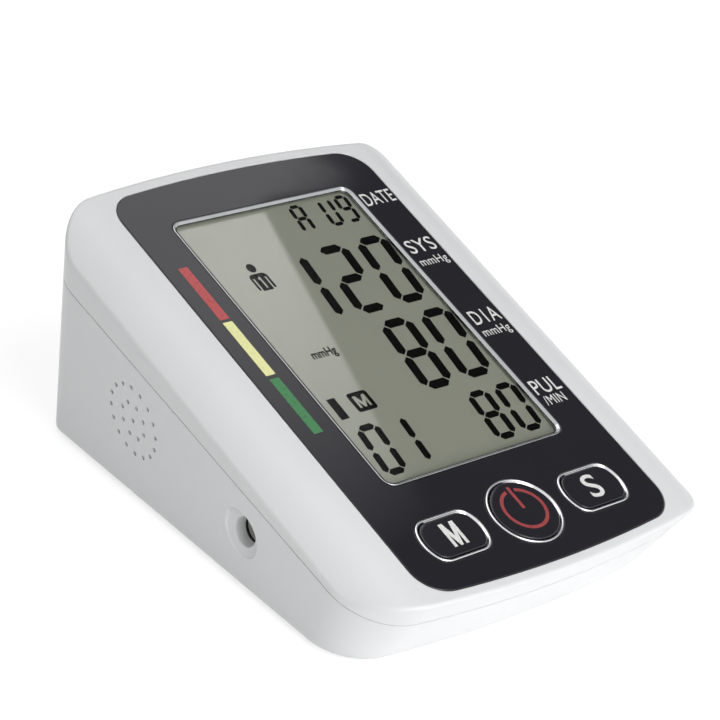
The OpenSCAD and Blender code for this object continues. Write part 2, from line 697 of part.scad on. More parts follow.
// Speaker
module speaker_basket() color("darkgray") difference() {
    along_x(-speaker_x, speaker_t, speaker_r, speaker_y, speaker_z);
    along_x(-speaker_x - 1, 2.2, speaker_r - 1, speaker_y, speaker_z);
    along_x(-speaker_x + 1.1, speaker_t, 6.1, speaker_y, speaker_z);
}
module speaker_magnet() color("dimgray")
    along_x(-speaker_x + 2.4, speaker_t - 1.4, 6, speaker_y, speaker_z);
module speaker_cone() color([0.2, 0.2, 0.2]) translate([-speaker_x, speaker_y, speaker_z])
    rotate([0, 90, 0]) rotate_extrude() polygon([[0, 1.2], [2.5, 1.5], [speaker_r - 2, 0.5],
        [speaker_r - 1.1, 0.5], [speaker_r - 1.1, 0.8], [speaker_r - 1.9, 0.8], [2.5, 1.9], [0, 1.6]]);

// Air socket
module air_jack() color("gainsboro") difference() {
    union() {
        along_x(-jack_seat + seal_t, jack_flange_t, spot_r + 0.8, socket_y, socket_z);
        along_x(-jack_seat + seal_t, jack_l + 1.6, jack_body_r, socket_y, socket_z);
        along_x(-jack_end + 1, nozzle_l + 0.6, nozzle_r, socket_y, socket_z);
    }
    along_x(-jack_seat - 1, jack_l + seal_t + 1, jack_r, socket_y, socket_z);
    along_x(-jack_seat, far / 4, nozzle_r - 0.7, socket_y, socket_z);
}
module jack_seal() color("black") difference() {
    along_x(-jack_seat, seal_t, spot_r, socket_y, socket_z);
    along_x(-jack_seat - 1, seal_t + 2, jack_r + 0.2, socket_y, socket_z);
}

// Pump
module pump_motor() color("silver") difference() {
    union() {
        along_x(motor_x, motor_l, motor_r, pump_y, pump_z);
        along_x(motor_x + motor_l - 1, 3, 3, pump_y, pump_z);
    }
    along_x(motor_x + 2, motor_l - 4, armature_r + 0.8, pump_y, pump_z);
    along_x(motor_x - 1, motor_l + 1.6, shaft_r + fit_gap, pump_y, pump_z);
}
module pump_rotor() color("goldenrod") {
    along_x(motor_x - crank_room + 1.2, motor_l + crank_room - 2, shaft_r, pump_y, pump_z);
    along_x(motor_x + 5, motor_l - 10, armature_r, pump_y, pump_z);
    along_x(motor_x - crank_room + 1.2, 3, crank_r, pump_y + crank_off, pump_z);
}
module pump_head() color("whitesmoke") difference() {
    union() {
        translate([motor_x - head_l, pump_y, pump_z]) rotate([0, 90, 0]) linear_extrude(head_l)
            soft_rect(2 * head_half, 2 * head_half, 4);
        along_x(motor_x - head_l - nozzle_l, nozzle_l + 1, nozzle_r, pump_y, pump_z);
    }
    along_x(motor_x - crank_room, crank_room + 1, crank_r + crank_off + 0.6, pump_y, pump_z);
    along_x(motor_x - head_l - nozzle_l - 1, nozzle_l + 4, nozzle_r - 0.7, pump_y, pump_z);
    for (x = [-head_l + 5, -crank_room - 3]) translate([motor_x + x, pump_y, pump_z]) rotate([0, 90, 0])
        linear_extrude(1) difference() {
            square(4 * head_half, center = true);
            soft_rect(2 * head_half - 1.2, 2 * head_half - 1.2, 3.4);
        }
}
module pump_cushion() color("dimgray") for (x = cradle_x) difference() {
    along_x(x, cradle_t, cushion_r - fit_gap, pump_y, pump_z);
    along_x(x - 1, cradle_t + 2, motor_r + fit_gap, pump_y, pump_z);
}

// Release valve, lying along x with its nozzle to the left
module valve_frame() color("silver") difference() {
    block(valve_x, valve_x + valve_l, valve_y - valve_half, valve_y + valve_half, floor_z,
        floor_z + 2 * valve_half);
    block(valve_x + 1.2, valve_x + valve_l - 1.2, valve_y - valve_half - 1, valve_y + valve_half + 1,
        floor_z + 1.2, floor_z + 2 * valve_half + 1);
    along_x(valve_x - 1, valve_l + 2, 2.7, valve_y, valve_z);
}
plunger_pin_r = 2.2;
module valve_coil() color("firebrick") difference() {
    union() {
        for (x = [1.2, valve_l - 3.2]) along_x(valve_x + x, 2, valve_half - 1.25, valve_y, valve_z);
        along_x(valve_x + 1.2, valve_l - 2.4, valve_half - 2, valve_y, valve_z);
        along_x(valve_x - 1.5, 3, 2.6, valve_y, valve_z);
        along_x(valve_x - 1.5 - nozzle_l, nozzle_l + 1, nozzle_r, valve_y, valve_z);
    }
    along_x(valve_x + 1, valve_l, plunger_pin_r + fit_gap, valve_y, valve_z);
    along_x(valve_x - 8, 12, nozzle_r - 0.7, valve_y, valve_z);
}
module valve_plunger() color("lightgray") {
    along_x(valve_x + 1.2 + valve_travel, valve_l + 1.5 - valve_travel, plunger_pin_r, valve_y, valve_z);
    along_x(valve_x + valve_l + 1.4, 1.3, 3.6, valve_y, valve_z);
}

// Sensor and hoses
sensor_d = board_d + board_t;
function world(p) = [p[0], panel_y + p[1] * cos(tilt) - p[2] * sin(tilt),
    panel_z + p[1] * sin(tilt) + p[2] * cos(tilt)];
sensor_port_d = sensor_d + sensor_h / 2 + 0.7;
module up_slope(r, l) translate([sensor_x, sensor_t, -sensor_port_d]) rotate([-90, 0, 0])
    cylinder(r = r, h = l);
module pressure_sensor() color("dimgray") on_panel() difference() {
    union() {
        translate([sensor_x - sensor_half, sensor_t - sensor_half, -sensor_d - sensor_h])
            cube([2 * sensor_half, 2 * sensor_half, sensor_h]);
        up_slope(nozzle_r, sensor_half + nozzle_l);
    }
    up_slope(nozzle_r - 0.7, far / 4);
}
module manifold_arm(dir, r, l) translate([manifold_x, manifold_y, manifold_z])
    rotate([0, acos(dir[2]), atan2(dir[1], dir[0])]) cylinder(r = r, h = l);
arms = [[-1, 0, 0], [1, 0, 0], [0, -1, 0], [0, 0, 1]];
arm_root = manifold_r + 1;
module air_manifold() color("whitesmoke") difference() {
    union() {
        translate([manifold_x, manifold_y, manifold_z]) cube(2 * manifold_r, center = true);
        for (dir = arms) manifold_arm(dir, nozzle_r, arm_root + nozzle_l);
        for (dir = arms) manifold_arm(dir, 2.2, arm_root);
    }
    for (dir = arms) manifold_arm(dir, nozzle_r - 0.7, far / 4);
}
hub = [manifold_x, manifold_y, manifold_z];
jack_tip = [-jack_end + 1.6, socket_y, socket_z];
pump_tip = [motor_x - head_l, pump_y, pump_z];
valve_tip = [valve_x - 1.5, valve_y, valve_z];
sensor_tip = world([sensor_x, sensor_t + sensor_half, -sensor_port_d]);
sensor_dir = [0, cos(tilt), sin(tilt)];
run = nozzle_l + 1;
module hose_jack() color("gainsboro") hose([jack_tip, jack_tip + [run, 0, 0],
    hub - [arm_root + run, 0, 0], hub - [arm_root, 0, 0]]);
module hose_valve() color("gainsboro") hose([hub + [arm_root, 0, 0], hub + [arm_root + run, 0, 0],
    valve_tip - [run, 0, 0], valve_tip]);
over_bay = roof_z + hose_r + 1.2;
module hose_pump() color("gainsboro") hose([hub + [0, 0, arm_root], hub + [0, 0, arm_root + run],
    hub + [-1.5, 5, arm_root + run + 3.2], [hub[0] - 5, bay_front + 6, over_bay + 0.6],
    [hub[0] - 12, pump_y - 21, over_bay + 0.6], pump_tip - [run + 3, 9, 6], pump_tip - [run + 4, 3, 2],
    pump_tip - [run, 0, 0], pump_tip], lean = [1, 0.2, 0.1]);
module hose_sensor() color("gainsboro") hose([hub - [0, arm_root, 0], hub - [0, arm_root + run, 0],
    sensor_tip + sensor_dir * run, sensor_tip], lean = [1, 0, 0]);

// Batteries, door and contacts
// Frame of one cell: its minus end looks to -z, and every other cell is turned round
module cell_place(k) translate([battery_x(k), (bay_front + bay_back) / 2, battery_z])
    rotate([k % 2 == 0 ? -90 : 90, 0, 0]) children();
plus_z = (bay_back - bay_front) / 2;
module battery(k) color("steelblue") cell_place(k) {
    translate([0, 0, plus_z - plate_room - battery_l]) cylinder(r = battery_r, h = battery_l - 1);
    translate([0, 0, plus_z - plate_room - 1 - eps]) cylinder(r = 2.7, h = 1 + eps);
}
module battery_1() battery(0);
module battery_2() battery(1);
module battery_3() battery(2);
module battery_4() battery(3);
module battery_door() color("whitesmoke") {
    difference() {
        intersection() {
            housing_skin();
            block(-door_w / 2, door_w / 2, bay_front - door_lap, far, case_z, case_z + door_t);
        }
        for (k = [0:5]) block(-9, 9, bay_back - 14 + 2.4 * k, bay_back - 13 + 2.4 * k, 0, case_z + 0.5);
    }
    mirrored() for (y = tab_y) block(door_w / 2 - eps, door_w / 2 + tab_w, y, y + tab_l,
        case_z + door_t - tab_t, case_z + door_t);
}
spring_l = contact_room - plate_room - 0.6;
function spring_path(turns, l) = [for (s = [0:turns * 10]) let (f = s / (turns * 10))
    [(4.2 - 1.6 * f) * cos(36 * s), (4.2 - 1.6 * f) * sin(36 * s), 0.45 + (l - 0.9) * f]];
module contact_springs() color("silver") for (k = [0:3]) cell_place(k) translate([0, 0, -plus_z]) {
    cylinder(r = 5, h = 0.5);
    translate([0, 0, 0.2]) lofted(hoops(spring_path(3, spring_l), 0.4, 5, [0, 0, 1]));
}
module contact_plates() color("silver") for (k = [0:3]) cell_place(k)
    translate([-5, -5, plus_z - 0.6]) cube([10, 10, 0.6]);

// Power inlet
module dc_inlet() color("dimgray") {
    difference() {
        union() {
            block(inlet_x - inlet_l, inlet_x - 0.05, socket_y - inlet_half, socket_y + inlet_half,
                socket_z - inlet_half, socket_z + inlet_half);
            along_x(inlet_x - 1, 1.5 + wall - 1.2, 3.2, socket_y, socket_z);
        }
        along_x(inlet_x - 9, 20, 2.75, socket_y, socket_z);
    }
    along_x(inlet_x - 9.5, 9, 0.95, socket_y, socket_z);
}

// Leads from the battery contacts to the board
lead_r = 0.7;
lead_y = bay_front - bay_wall - 1;
lead_t = (lead_y - panel_y) / cos(tilt) - 9;
module lead(x, side) swept([[x, lead_y, battery_z], [x, lead_y - 0.6, battery_z + 6],
    world([x + side, lead_t, -board_d - board_t - 4]), world([x + side, lead_t, -board_d - board_t])],
    lead_r, sides = 8, lean = [1, 0, 0]);
module lead_positive() color("red") lead(battery_x(3), 2);
module lead_negative() color("black") lead(battery_x(3) - 5, -1);

// Fasteners and feet
module case_screws() color("silver") mirrored() for (k = [0, 1])
    translate([screw_x[k], screw_y[k], join_z[k] - seat_t]) {
        translate([0, 0, -head_t]) cylinder(r = head_r, h = head_t);
        cylinder(r = screw_r, h = screw_l);
    }
module rubber_feet() color([0.25, 0.25, 0.25]) mirrored() for (k = [0, 1])
    translate([foot_x[k], foot_y[k], 0]) cylinder(r = foot_r, h = case_z + foot_sink);

top_cover();
bottom_case();
fascia_panel();
lcd_rim();
lcd_window();
lcd_cell();
lcd_holder();
zebra_strip();
main_board();
controller_chip();
button_memory();
button_power();
button_set();
ring_memory();
ring_power();
ring_set();
switch_memory();
switch_power();
switch_set();
plunger_memory();
plunger_power();
plunger_set();
speaker_basket();
speaker_magnet();
speaker_cone();
air_jack();
jack_seal();
pump_motor();
pump_head();
pump_rotor();
pump_cushion();
valve_frame();
valve_coil();
valve_plunger();
pressure_sensor();
air_manifold();
hose_jack();
hose_pump();
hose_valve();
hose_sensor();
battery_door();
battery_1();
battery_2();
battery_3();
battery_4();
contact_springs();
contact_plates();
dc_inlet();
lead_positive();
lead_negative();
case_screws();
board_screws();
rubber_feet();
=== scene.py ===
"""Looks of an upper arm blood pressure monitor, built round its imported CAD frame.

The white shells, the black panel, the display and the buttons are modelled here finer than the
frame's solids, in the same places; the pieces inside keep the frame's meshes and get materials.
Lengths inside the functions are millimetres in the panel frame: x to the right, t up the slope
from the panel's front edge, and depth d below the panel's face.
"""

import math

import bmesh
import bpy
from mathutils import Matrix, Vector


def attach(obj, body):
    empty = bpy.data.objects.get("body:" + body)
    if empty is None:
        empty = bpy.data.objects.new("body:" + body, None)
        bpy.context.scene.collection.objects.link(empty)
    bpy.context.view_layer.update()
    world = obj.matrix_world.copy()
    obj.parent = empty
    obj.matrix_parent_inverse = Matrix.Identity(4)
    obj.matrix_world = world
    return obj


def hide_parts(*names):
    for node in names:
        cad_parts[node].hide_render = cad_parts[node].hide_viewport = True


bl_info = {
    "name": "Arm Blood Pressure Monitor",
    "version": (1, 0, 0),
    "blender": (4, 5, 0),
    "location": "View3D > Sidebar > Monitor",
    "description": "Builds the shells, panel, display and buttons of a blood pressure monitor",
    "category": "Object",
}

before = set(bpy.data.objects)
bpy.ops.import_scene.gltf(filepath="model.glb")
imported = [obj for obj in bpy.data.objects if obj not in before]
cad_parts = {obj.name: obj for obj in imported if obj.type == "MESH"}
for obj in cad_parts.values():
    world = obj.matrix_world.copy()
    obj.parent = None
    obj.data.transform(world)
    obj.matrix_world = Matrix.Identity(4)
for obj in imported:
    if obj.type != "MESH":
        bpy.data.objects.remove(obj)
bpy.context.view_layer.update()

# Sizes shared with the solids, in millimetres and degrees
TILT = math.radians(18.4)
PANEL_Y = -63.7279
PANEL_Z = 21.8417
PANEL_W = 76.5
PANEL_L = 128.2
PANEL_R = 8.0
PANEL_T = 1.3
BOW_R = 340.0
PANEL_GAP = 0.15
SIDE_BORDER = 15.15
FRONT_BORDER = 3.0
BACK_BORDER = 3.4
SIDE_DRAFT = math.tan(math.radians(11.3))
END_DRAFT = math.tan(math.radians(13.7))
FRONT_CORNER = 15.7
BACK_CORNER = 13.3
CORNER_TAPER = 0.14
ROLL_START = PANEL_W / 2 + 2.2
ROLL_R = 12.8
EDGE_SOFT = 1.2
BASE_SOFT = 1.6
BASE_DEPTH = 22.07
PART_DEPTH = 7.3
PART_SLOPE = math.radians(3.6)
PART_GAP = 0.35
FOOT_H = 0.9
WINDOW_W = 54.7
WINDOW_FRONT = 30.1
WINDOW_L = 85.75
WINDOW_MID = WINDOW_FRONT + WINDOW_L / 2
WINDOW_R = 3.0
RIM_W = 0.9
CELL_D = PANEL_T + 0.35
CELL_T = 2.4
BUTTON_T = 13.9
BUTTON_PITCH = 21.65
POWER_R = 9.2
PILL_R = 8.9
PILL_H = 5.95
RING_W = 0.85
BUTTON_GAP = 0.15
CAP_RISE = 0.3
SOCKET = (-14.9279, 15.3917)
SPOT_R = 5.9
SPOT_X = 47.9
SOCKET_HOLE_R = 3.4
GRILLE = (26.2721, 22.2417)
GRILLE_R = 8.9
GRILLE_HOLE_R = 0.6
INLET_HOLE_R = 4.6
SCREWS = ((36.99, -45.2279, 7.3), (37.2, 48.0063, 23.9))
SCREW_HEAD_R = 2.7
FEET = ((36.99, -33.7279), (37.6, 38.5063))
FOOT_R = 3.4
DOOR_W = 65.2
DOOR_FRONT = -7.4
DOOR_T = 1.5
SLOT_GAP = 0.3
WALL_BITE = 0.1
BOW_STEPS = 26
CORNER_STEPS = 14
AROUND = range(2 * BOW_STEPS + 4 * CORNER_STEPS + 2)
ROLL_STEPS = 20
CREASE_STEPS = 7
BASE_STEPS = 5
# First rings of the skin that the inner cover and the case start from
COVER_FROM = 6
CASE_FROM = 20
BASE_MARGIN = 0.8
SOFT_EDGE = 0.12
SEAT_BACK = -44.9
LEFT_WALL = (-60, -40)
RIGHT_WALL = (40, 60)
CROSS_HALF = 1.5
SLOT_HALF = 0.28
CROSS_DEPTH = (-3, -0.8)
CAP_SOFT = 0.25
PRINT_FOOT = 0.02
PALE_RISE = 0.05
WELD = 1e-5

# The camera that the photograph was taken with, in the panel frame
CAMERA_AT = Vector((-389.46, -201.99, 367.15))
CAMERA_RIGHT = Vector((0.73818, -0.57969, 0.34503))
CAMERA_UP = Vector((0.20397, 0.67931, 0.70494))
FOCAL_PIXELS = 2654.0
IMAGE_PIXELS = 720.0

TO_WORLD = (Matrix.Scale(0.001, 4) @ Matrix.Translation((0, PANEL_Y, PANEL_Z))
            @ Matrix.Rotation(TILT, 4, "X"))
MILLIMETRES = Matrix.Scale(0.001, 4)
BODY_OF = {"memory": "memory_key", "power": "power_key", "set": "set_key"}


def length(name, description, metres):
    return bpy.props.FloatProperty(name=name, description=description, default=metres,
                                   unit="LENGTH")


def colour(name, what, default):
    return bpy.props.StringProperty(name=name, description=what + ", sRGB hex", default=default)


class MonitorSizes(bpy.types.PropertyGroup):
    """Small sizes of the dressed pieces"""
    shell_wall: length("Shell wall", "Thickness of the white shells", 0.0011)
    panel_edge: length("Panel edge", "Rounding of the black panel's edge", 0.00025)
    ring_rise: length("Ring rise", "How far the bright rings stand proud", 0.00034)
    print_rise: length("Print thickness", "Thickness of printed marks", 0.00003)


class MonitorColours(bpy.types.PropertyGroup):
    """Colours a user would change"""
    shell: colour("Shell", "Moulded ABS", "F1F2F3")
    panel: colour("Panel", "Black acrylic", "26252C")
    display: colour("Display", "Unlit display ground", "B7BBA8")
    segments: colour("Segments", "Driven display segments", "0B0B0A")
    power_mark: colour("Power mark", "Print on the middle button", "A8484A")
    scale_high: colour("Scale, high", "Upper bar of the pressure scale", "C85C5E")
    scale_raised: colour("Scale, raised", "Middle bar of the pressure scale", "FFFDB8")
    scale_normal: colour("Scale, normal", "Lower bar of the pressure scale", "50905F")


# Geometry helpers

def size_mm(name):
    """One of the user's sizes, in millimetres."""
    return getattr(bpy.context.scene.monitor_sizes, name) * 1000


def turned(cx, cy, r, degrees):
    a = math.radians(degrees)
    return cx + r * math.cos(a), cy + r * math.sin(a)


def edge_point(i, hw, t0, t1, r0, r1):
    """Point i of a plan outline with bowed ends and rounded corners."""
    bow, cor = BOW_STEPS, CORNER_STEPS
    x0, x1 = hw - r0, hw - r1
    a0 = math.degrees(math.asin(x0 / (BOW_R - r0)))
    a1 = math.degrees(math.asin(x1 / (BOW_R - r1)))
    c0 = t0 + BOW_R - (BOW_R - r0) * math.cos(math.radians(a0))
    c1 = t1 - BOW_R + (BOW_R - r1) * math.cos(math.radians(a1))
    s1, s2 = bow, bow + cor
    s3, s4 = s2 + 1 + cor, s2 + 1 + cor + bow
    s5 = s4 + cor
    if i <= s1:
        return turned(0, t0 + BOW_R, BOW_R, -90 - a0 + 2 * a0 * i / bow)
    if i <= s2:
        return turned(x0, c0, r0, -90 + a0 + (90 - a0) * (i - s1) / cor)
    if i <= s3:
        return turned(x1, c1, r1, (90 - a1) * (i - s2 - 1) / cor)
    if i <= s4:
        return turned(0, t1 - BOW_R, BOW_R, 90 - a1 + 2 * a1 * (i - s3) / bow)
    if i <= s5:
        return turned(-x1, c1, r1, 90 + a1 + (90 - a1) * (i - s4) / cor)
    return turned(-x0, c0, r0, 180 + (90 - a0) * (i - s5 - 1) / cor)


def wall_point(i, d, e=0.0):
    """Point i of the housing's outline at depth d, drawn in by e."""
    hw = PANEL_W / 2 + SIDE_BORDER - d * SIDE_DRAFT
    end_in, r_in = d * END_DRAFT + e, d * CORNER_TAPER + e
    return edge_point(i, hw - e, end_in - FRONT_BORDER, PANEL_L + BACK_BORDER - end_in,
                      max(2, FRONT_CORNER - r_in), max(2, BACK_CORNER - r_in))


def panel_point(i, e=0.0):
    return edge_point(i, PANEL_W / 2 - e, e, PANEL_L - e, PANEL_R - e, PANEL_R - e)


def roll_run(x):
    return min(max(abs(x) - ROLL_START, 0), ROLL_R * 0.98)


def roll_depth(x):
    return ROLL_R - math.sqrt(ROLL_R ** 2 - roll_run(x) ** 2)


def roll_slope(x):
    return roll_run(x) / math.sqrt(ROLL_R ** 2 - roll_run(x) ** 2)


def crease_depth(i):
    d = 4.0
    for _ in range(12):
        d = roll_depth(wall_point(i, d)[0])
    return d


def bottom_depth(i, e, up):
    d = 30.0
    for _ in range(6):
        d = BASE_DEPTH + wall_point(i, d, e)[1] * math.tan(TILT) - up
    return d


def at_depth(p, d):
    """Point p of a plan (x, t), put below the panel's face by d."""
    return Vector((p[0], p[1], -d))


def rounded(a, corner, b, u):
    """Point u of the curve from a to b that rounds their corner off."""
    return (1 - u) ** 2 * a + 2 * u * (1 - u) * corner + u * u * b


def soft_rectangle(w, l, r, steps=8):
    """Closed outline of a rectangle with round corners, about the origin."""
    corners = ((1, -1, -90), (1, 1, 0), (-1, 1, 90), (-1, -1, 180))
    return [turned(sx * (w / 2 - r), sy * (l / 2 - r), r, start + 90 * k / steps)
            for sx, sy, start in corners for k in range(steps + 1)]


def circle_outline(r, steps=96):
    return [turned(0, 0, r, 360 * k / steps) for k in range(steps)]


def pill_outline(r, h, steps=10):
    """Side arcs of radius r that blend into flats at a height h, as on the outer buttons."""
    b = math.asin(h / r) / 2
    start = Vector((r * math.cos(b), r * math.sin(b)))
    leg = (h - start.y) / math.cos(b)
    corner = Vector((start.x - leg * math.sin(b), h))
    end = corner - Vector((leg, 0))
    quarter = [turned(0, 0, r, math.degrees(b) * k / steps) for k in range(steps)]
    quarter += [tuple(rounded(start, corner, end, k / steps)) for k in range(steps + 1)]
    upper = quarter + [(-x, y) for x, y in reversed(quarter)]
    return upper + [(-x, -y) for x, y in upper[1:-1]]


def button_outline(kind, e):
    if kind == "power":
        return circle_outline(POWER_R - e)
    return pill_outline(PILL_R - e, PILL_H - e)


def button_x(kind):
    return {"memory": -BUTTON_PITCH, "power": 0.0, "set": BUTTON_PITCH}[kind]


def moved(points, dx, dt):
    return [(x + dx, t + dt) for x, t in points]


def loop(bm, points):
    """A closed ring of edges through the given points."""
    verts = [bm.verts.new(p) for p in points]
    return [bm.edges.new((verts[k - 1], verts[k])) for k in range(len(verts))]


def bridged(bm, rings, closed=False):
    """Joins ring after ring into one skin and returns the edges of the first and last ring."""
    loops = [loop(bm, ring) for ring in rings]
    for first, second in zip(loops, loops[1:] + (loops[:1] if closed else [])):
        bmesh.ops.bridge_loops(bm, edges=first + second)
    return loops[0], loops[-1]


def capped(bm, edges, margin=0.0):
    """Closes a ring with a flat face, with a margin round it that keeps its shading level."""
    lid = bmesh.ops.contextual_create(bm, geom=edges)["faces"]
    bmesh.ops.recalc_face_normals(bm, faces=bm.faces)
    if margin:
        bmesh.ops.inset_individual(bm, faces=lid, thickness=margin, use_even_offset=True)


def outward(bm):
    bmesh.ops.remove_doubles(bm, verts=bm.verts, dist=WELD)
    bmesh.ops.recalc_face_normals(bm, faces=bm.faces)


def thickened(bm, height):
    """Gives the flat faces in bm a thickness upwards."""
    grown = bmesh.ops.extrude_face_region(bm, geom=bm.faces[:])["geom"]
    bmesh.ops.translate(bm, vec=(0, 0, height),
                        verts=[g for g in grown if isinstance(g, bmesh.types.BMVert)])
    outward(bm)


def mark_sharp(mesh, degrees):
    limit = math.radians(degrees)
    bm = bmesh.new()
    bm.from_mesh(mesh)
    for face in bm.faces:
        face.smooth = True
    for edge in bm.edges:
        edge.smooth = len(edge.link_faces) == 2 and edge.calc_face_angle(0) < limit
    bm.to_mesh(mesh)
    bm.free()


def new_object(name, bm, matrix, sharp=32):
    """A linked object with its place in its mesh."""
    bmesh.ops.transform(bm, matrix=matrix, verts=bm.verts)
    mesh = bpy.data.meshes.new(name)
    bm.to_mesh(mesh)
    bm.free()
    mark_sharp(mesh, sharp)
    obj = bpy.data.objects.new(name, mesh)
    bpy.context.scene.collection.objects.link(obj)
    return obj


def settle(obj):
    """Bakes an object's modifiers into its mesh."""
    graph = bpy.context.evaluated_depsgraph_get()
    graph.update()
    baked = bpy.data.meshes.new_from_object(obj.evaluated_get(graph))
    old = obj.data
    obj.modifiers.clear()
    obj.data = baked
    bpy.data.meshes.remove(old)
    baked.name = obj.name


def cut_away(obj, cutters, operation="DIFFERENCE"):
    """Cuts an object by others, which are then deleted."""
    for cutter in cutters:
        modifier = obj.modifiers.new(cutter.name, "BOOLEAN")
        modifier.operation = operation
        modifier.solver = "MANIFOLD"
        modifier.object = cutter
    settle(obj)
    for cutter in cutters:
        mesh = cutter.data
        bpy.data.objects.remove(cutter)
        bpy.data.meshes.remove(mesh)


def even_shading(obj, sharp=32):
    mark_sharp(obj.data, sharp)
    weighted = obj.modifiers.new("even_shading", "WEIGHTED_NORMAL")
    weighted.keep_sharp = True


def dress(obj, finish, body, replaces=()):
    """Gives an object its finish, the body it rides on and the nodes it replaces."""
    obj.data.materials.clear()
    obj.data.materials.append(MATERIALS[finish])
    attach(obj, body)
    if replaces:
        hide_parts(*replaces)
    return obj


def tube_along_x(bm, x0, x1, r, y, z, segments):
    place = (Matrix.Translation(((x0 + x1) / 2, y, z)) @ Matrix.Rotation(math.pi / 2, 4, "Y"))
    bmesh.ops.create_cone(bm, cap_ends=True, segments=segments, radius1=r, radius2=r,
                          depth=abs(x1 - x0), matrix=place)


def upright(bm, x, y, z0, z1, r):
    bmesh.ops.create_cone(bm, cap_ends=True, segments=40, radius1=r, radius2=r, depth=z1 - z0,
                          matrix=Matrix.Translation((x, y, (z0 + z1) / 2)))


def brick(bm, x0, x1, y0, y1, z0, z1):
    place = (Matrix.Translation(((x0 + x1) / 2, (y0 + y1) / 2, (z0 + z1) / 2))
             @ Matrix.Diagonal((x1 - x0, y1 - y0, z1 - z0, 1)))
    bmesh.ops.create_cube(bm, size=1.0, matrix=place)


def spun(bm, profile, x, y, steps):
    """A solid turned about the upright axis at (x, y); the profile lists (radius, height)."""
    verts = [bm.verts.new((x + r, y, z)) for r, z in profile]
    edges = [bm.edges.new(pair) for pair in zip(verts, verts[1:])]
    bmesh.ops.spin(bm, geom=verts + edges, axis=(0, 0, 1), cent=(x, y, 0), dvec=(0, 0, 0),
                   angle=2 * math.pi, steps=steps, use_merge=True)


def both_sides(places):
    """Each place (x, y, ...) on the left and on the right."""
    return [(side * x, *rest) for x, *rest in places for side in (-1, 1)]


def lathe_ring(bm, outline, profile):
    """Closed ring: the outline function takes how far in from the edge, and the profile is a
    closed list of (how far in, depth)."""
    bridged(bm, [[at_depth(p, d) for p in outline(e)] for e, d in profile], closed=True)
    outward(bm)


# Materials

def linear(hex_colour):
    """sRGB hex to linear RGBA."""
    channels = [int(hex_colour[k:k + 2], 16) / 255 for k in (0, 2, 4)]
    return [c / 12.92 if c <= 0.04045 else ((c + 0.055) / 1.055) ** 2.4 for c in channels] + [1.0]


def add_node(tree, kind, inputs=(), **settings):
    """Adds a shader node. An input is a value, or the node or socket that it is linked to."""
    node = tree.nodes.new(kind)
    for key, value in settings.items():
        setattr(node, key, value)
    for key, value in dict(inputs).items():
        source = value.outputs[0] if isinstance(value, bpy.types.Node) else value
        if isinstance(source, bpy.types.NodeSocket):
            tree.links.new(source, node.inputs[key])
        else:
            node.inputs[key].default_value = source
    return node


def start_material(name):
    material = bpy.data.materials.new(name)
    material.use_nodes = True
    tree = material.node_tree
    tree.nodes.clear()
    return material, tree, add_node(tree, "ShaderNodeTexCoord").outputs["Object"]


def per_metre(size_mm):
    """Texture scale whose features are about size_mm across."""
    return 1000.0 / size_mm


def noise(tree, place, size_mm, detail):
    return add_node(tree, "ShaderNodeTexNoise",
                    {"Vector": place, "Scale": per_metre(size_mm), "Detail": detail})


def relief(tree, height, strength, height_mm):
    """Normal that follows a texture's height."""
    return add_node(tree, "ShaderNodeBump",
                    {"Height": height, "Strength": strength, "Distance": height_mm / 1000})


def tinted(tree, hex_colour, spread, factor):
    """Base colour that wanders a little darker and lighter round the given one."""
    base = linear(hex_colour)[:3]
    ramp = add_node(tree, "ShaderNodeValToRGB", {"Fac": factor})
    for stop, position, share in zip(ramp.color_ramp.elements, (0.3, 0.7), (-spread, spread)):
        stop.position = position
        stop.color = [min(1.0, c * (1 + share)) for c in base] + [1.0]
    return ramp


def surface(name, hex_colour, roughness, rough_spread, spread, mottle_mm, grain_mm,
            grain_height_mm, extra):
    """A solid finish: mottled colour, uneven roughness and a fine grain, at real sizes."""
    material, tree, place = start_material(name)
    mottle = noise(tree, place, mottle_mm, 3.0)
    rough = add_node(tree, "ShaderNodeMapRange",
                     {"Value": mottle, "From Min": 0.3, "From Max": 0.7,
                      "To Min": max(0.01, roughness - rough_spread),
                      "To Max": roughness + rough_spread})
    shader = add_node(tree, "ShaderNodeBsdfPrincipled",
                      {"IOR": 1.5, **extra, "Roughness": rough,
                       "Base Color": tinted(tree, hex_colour, spread, mottle),
                       "Normal": relief(tree, noise(tree, place, grain_mm, 2.0), 0.6,
                                        grain_height_mm)})
    add_node(tree, "ShaderNodeOutputMaterial", {"Surface": shader})
    return material


ACRYLIC_IOR = 1.49
COAT_REFLECTS = 0.15


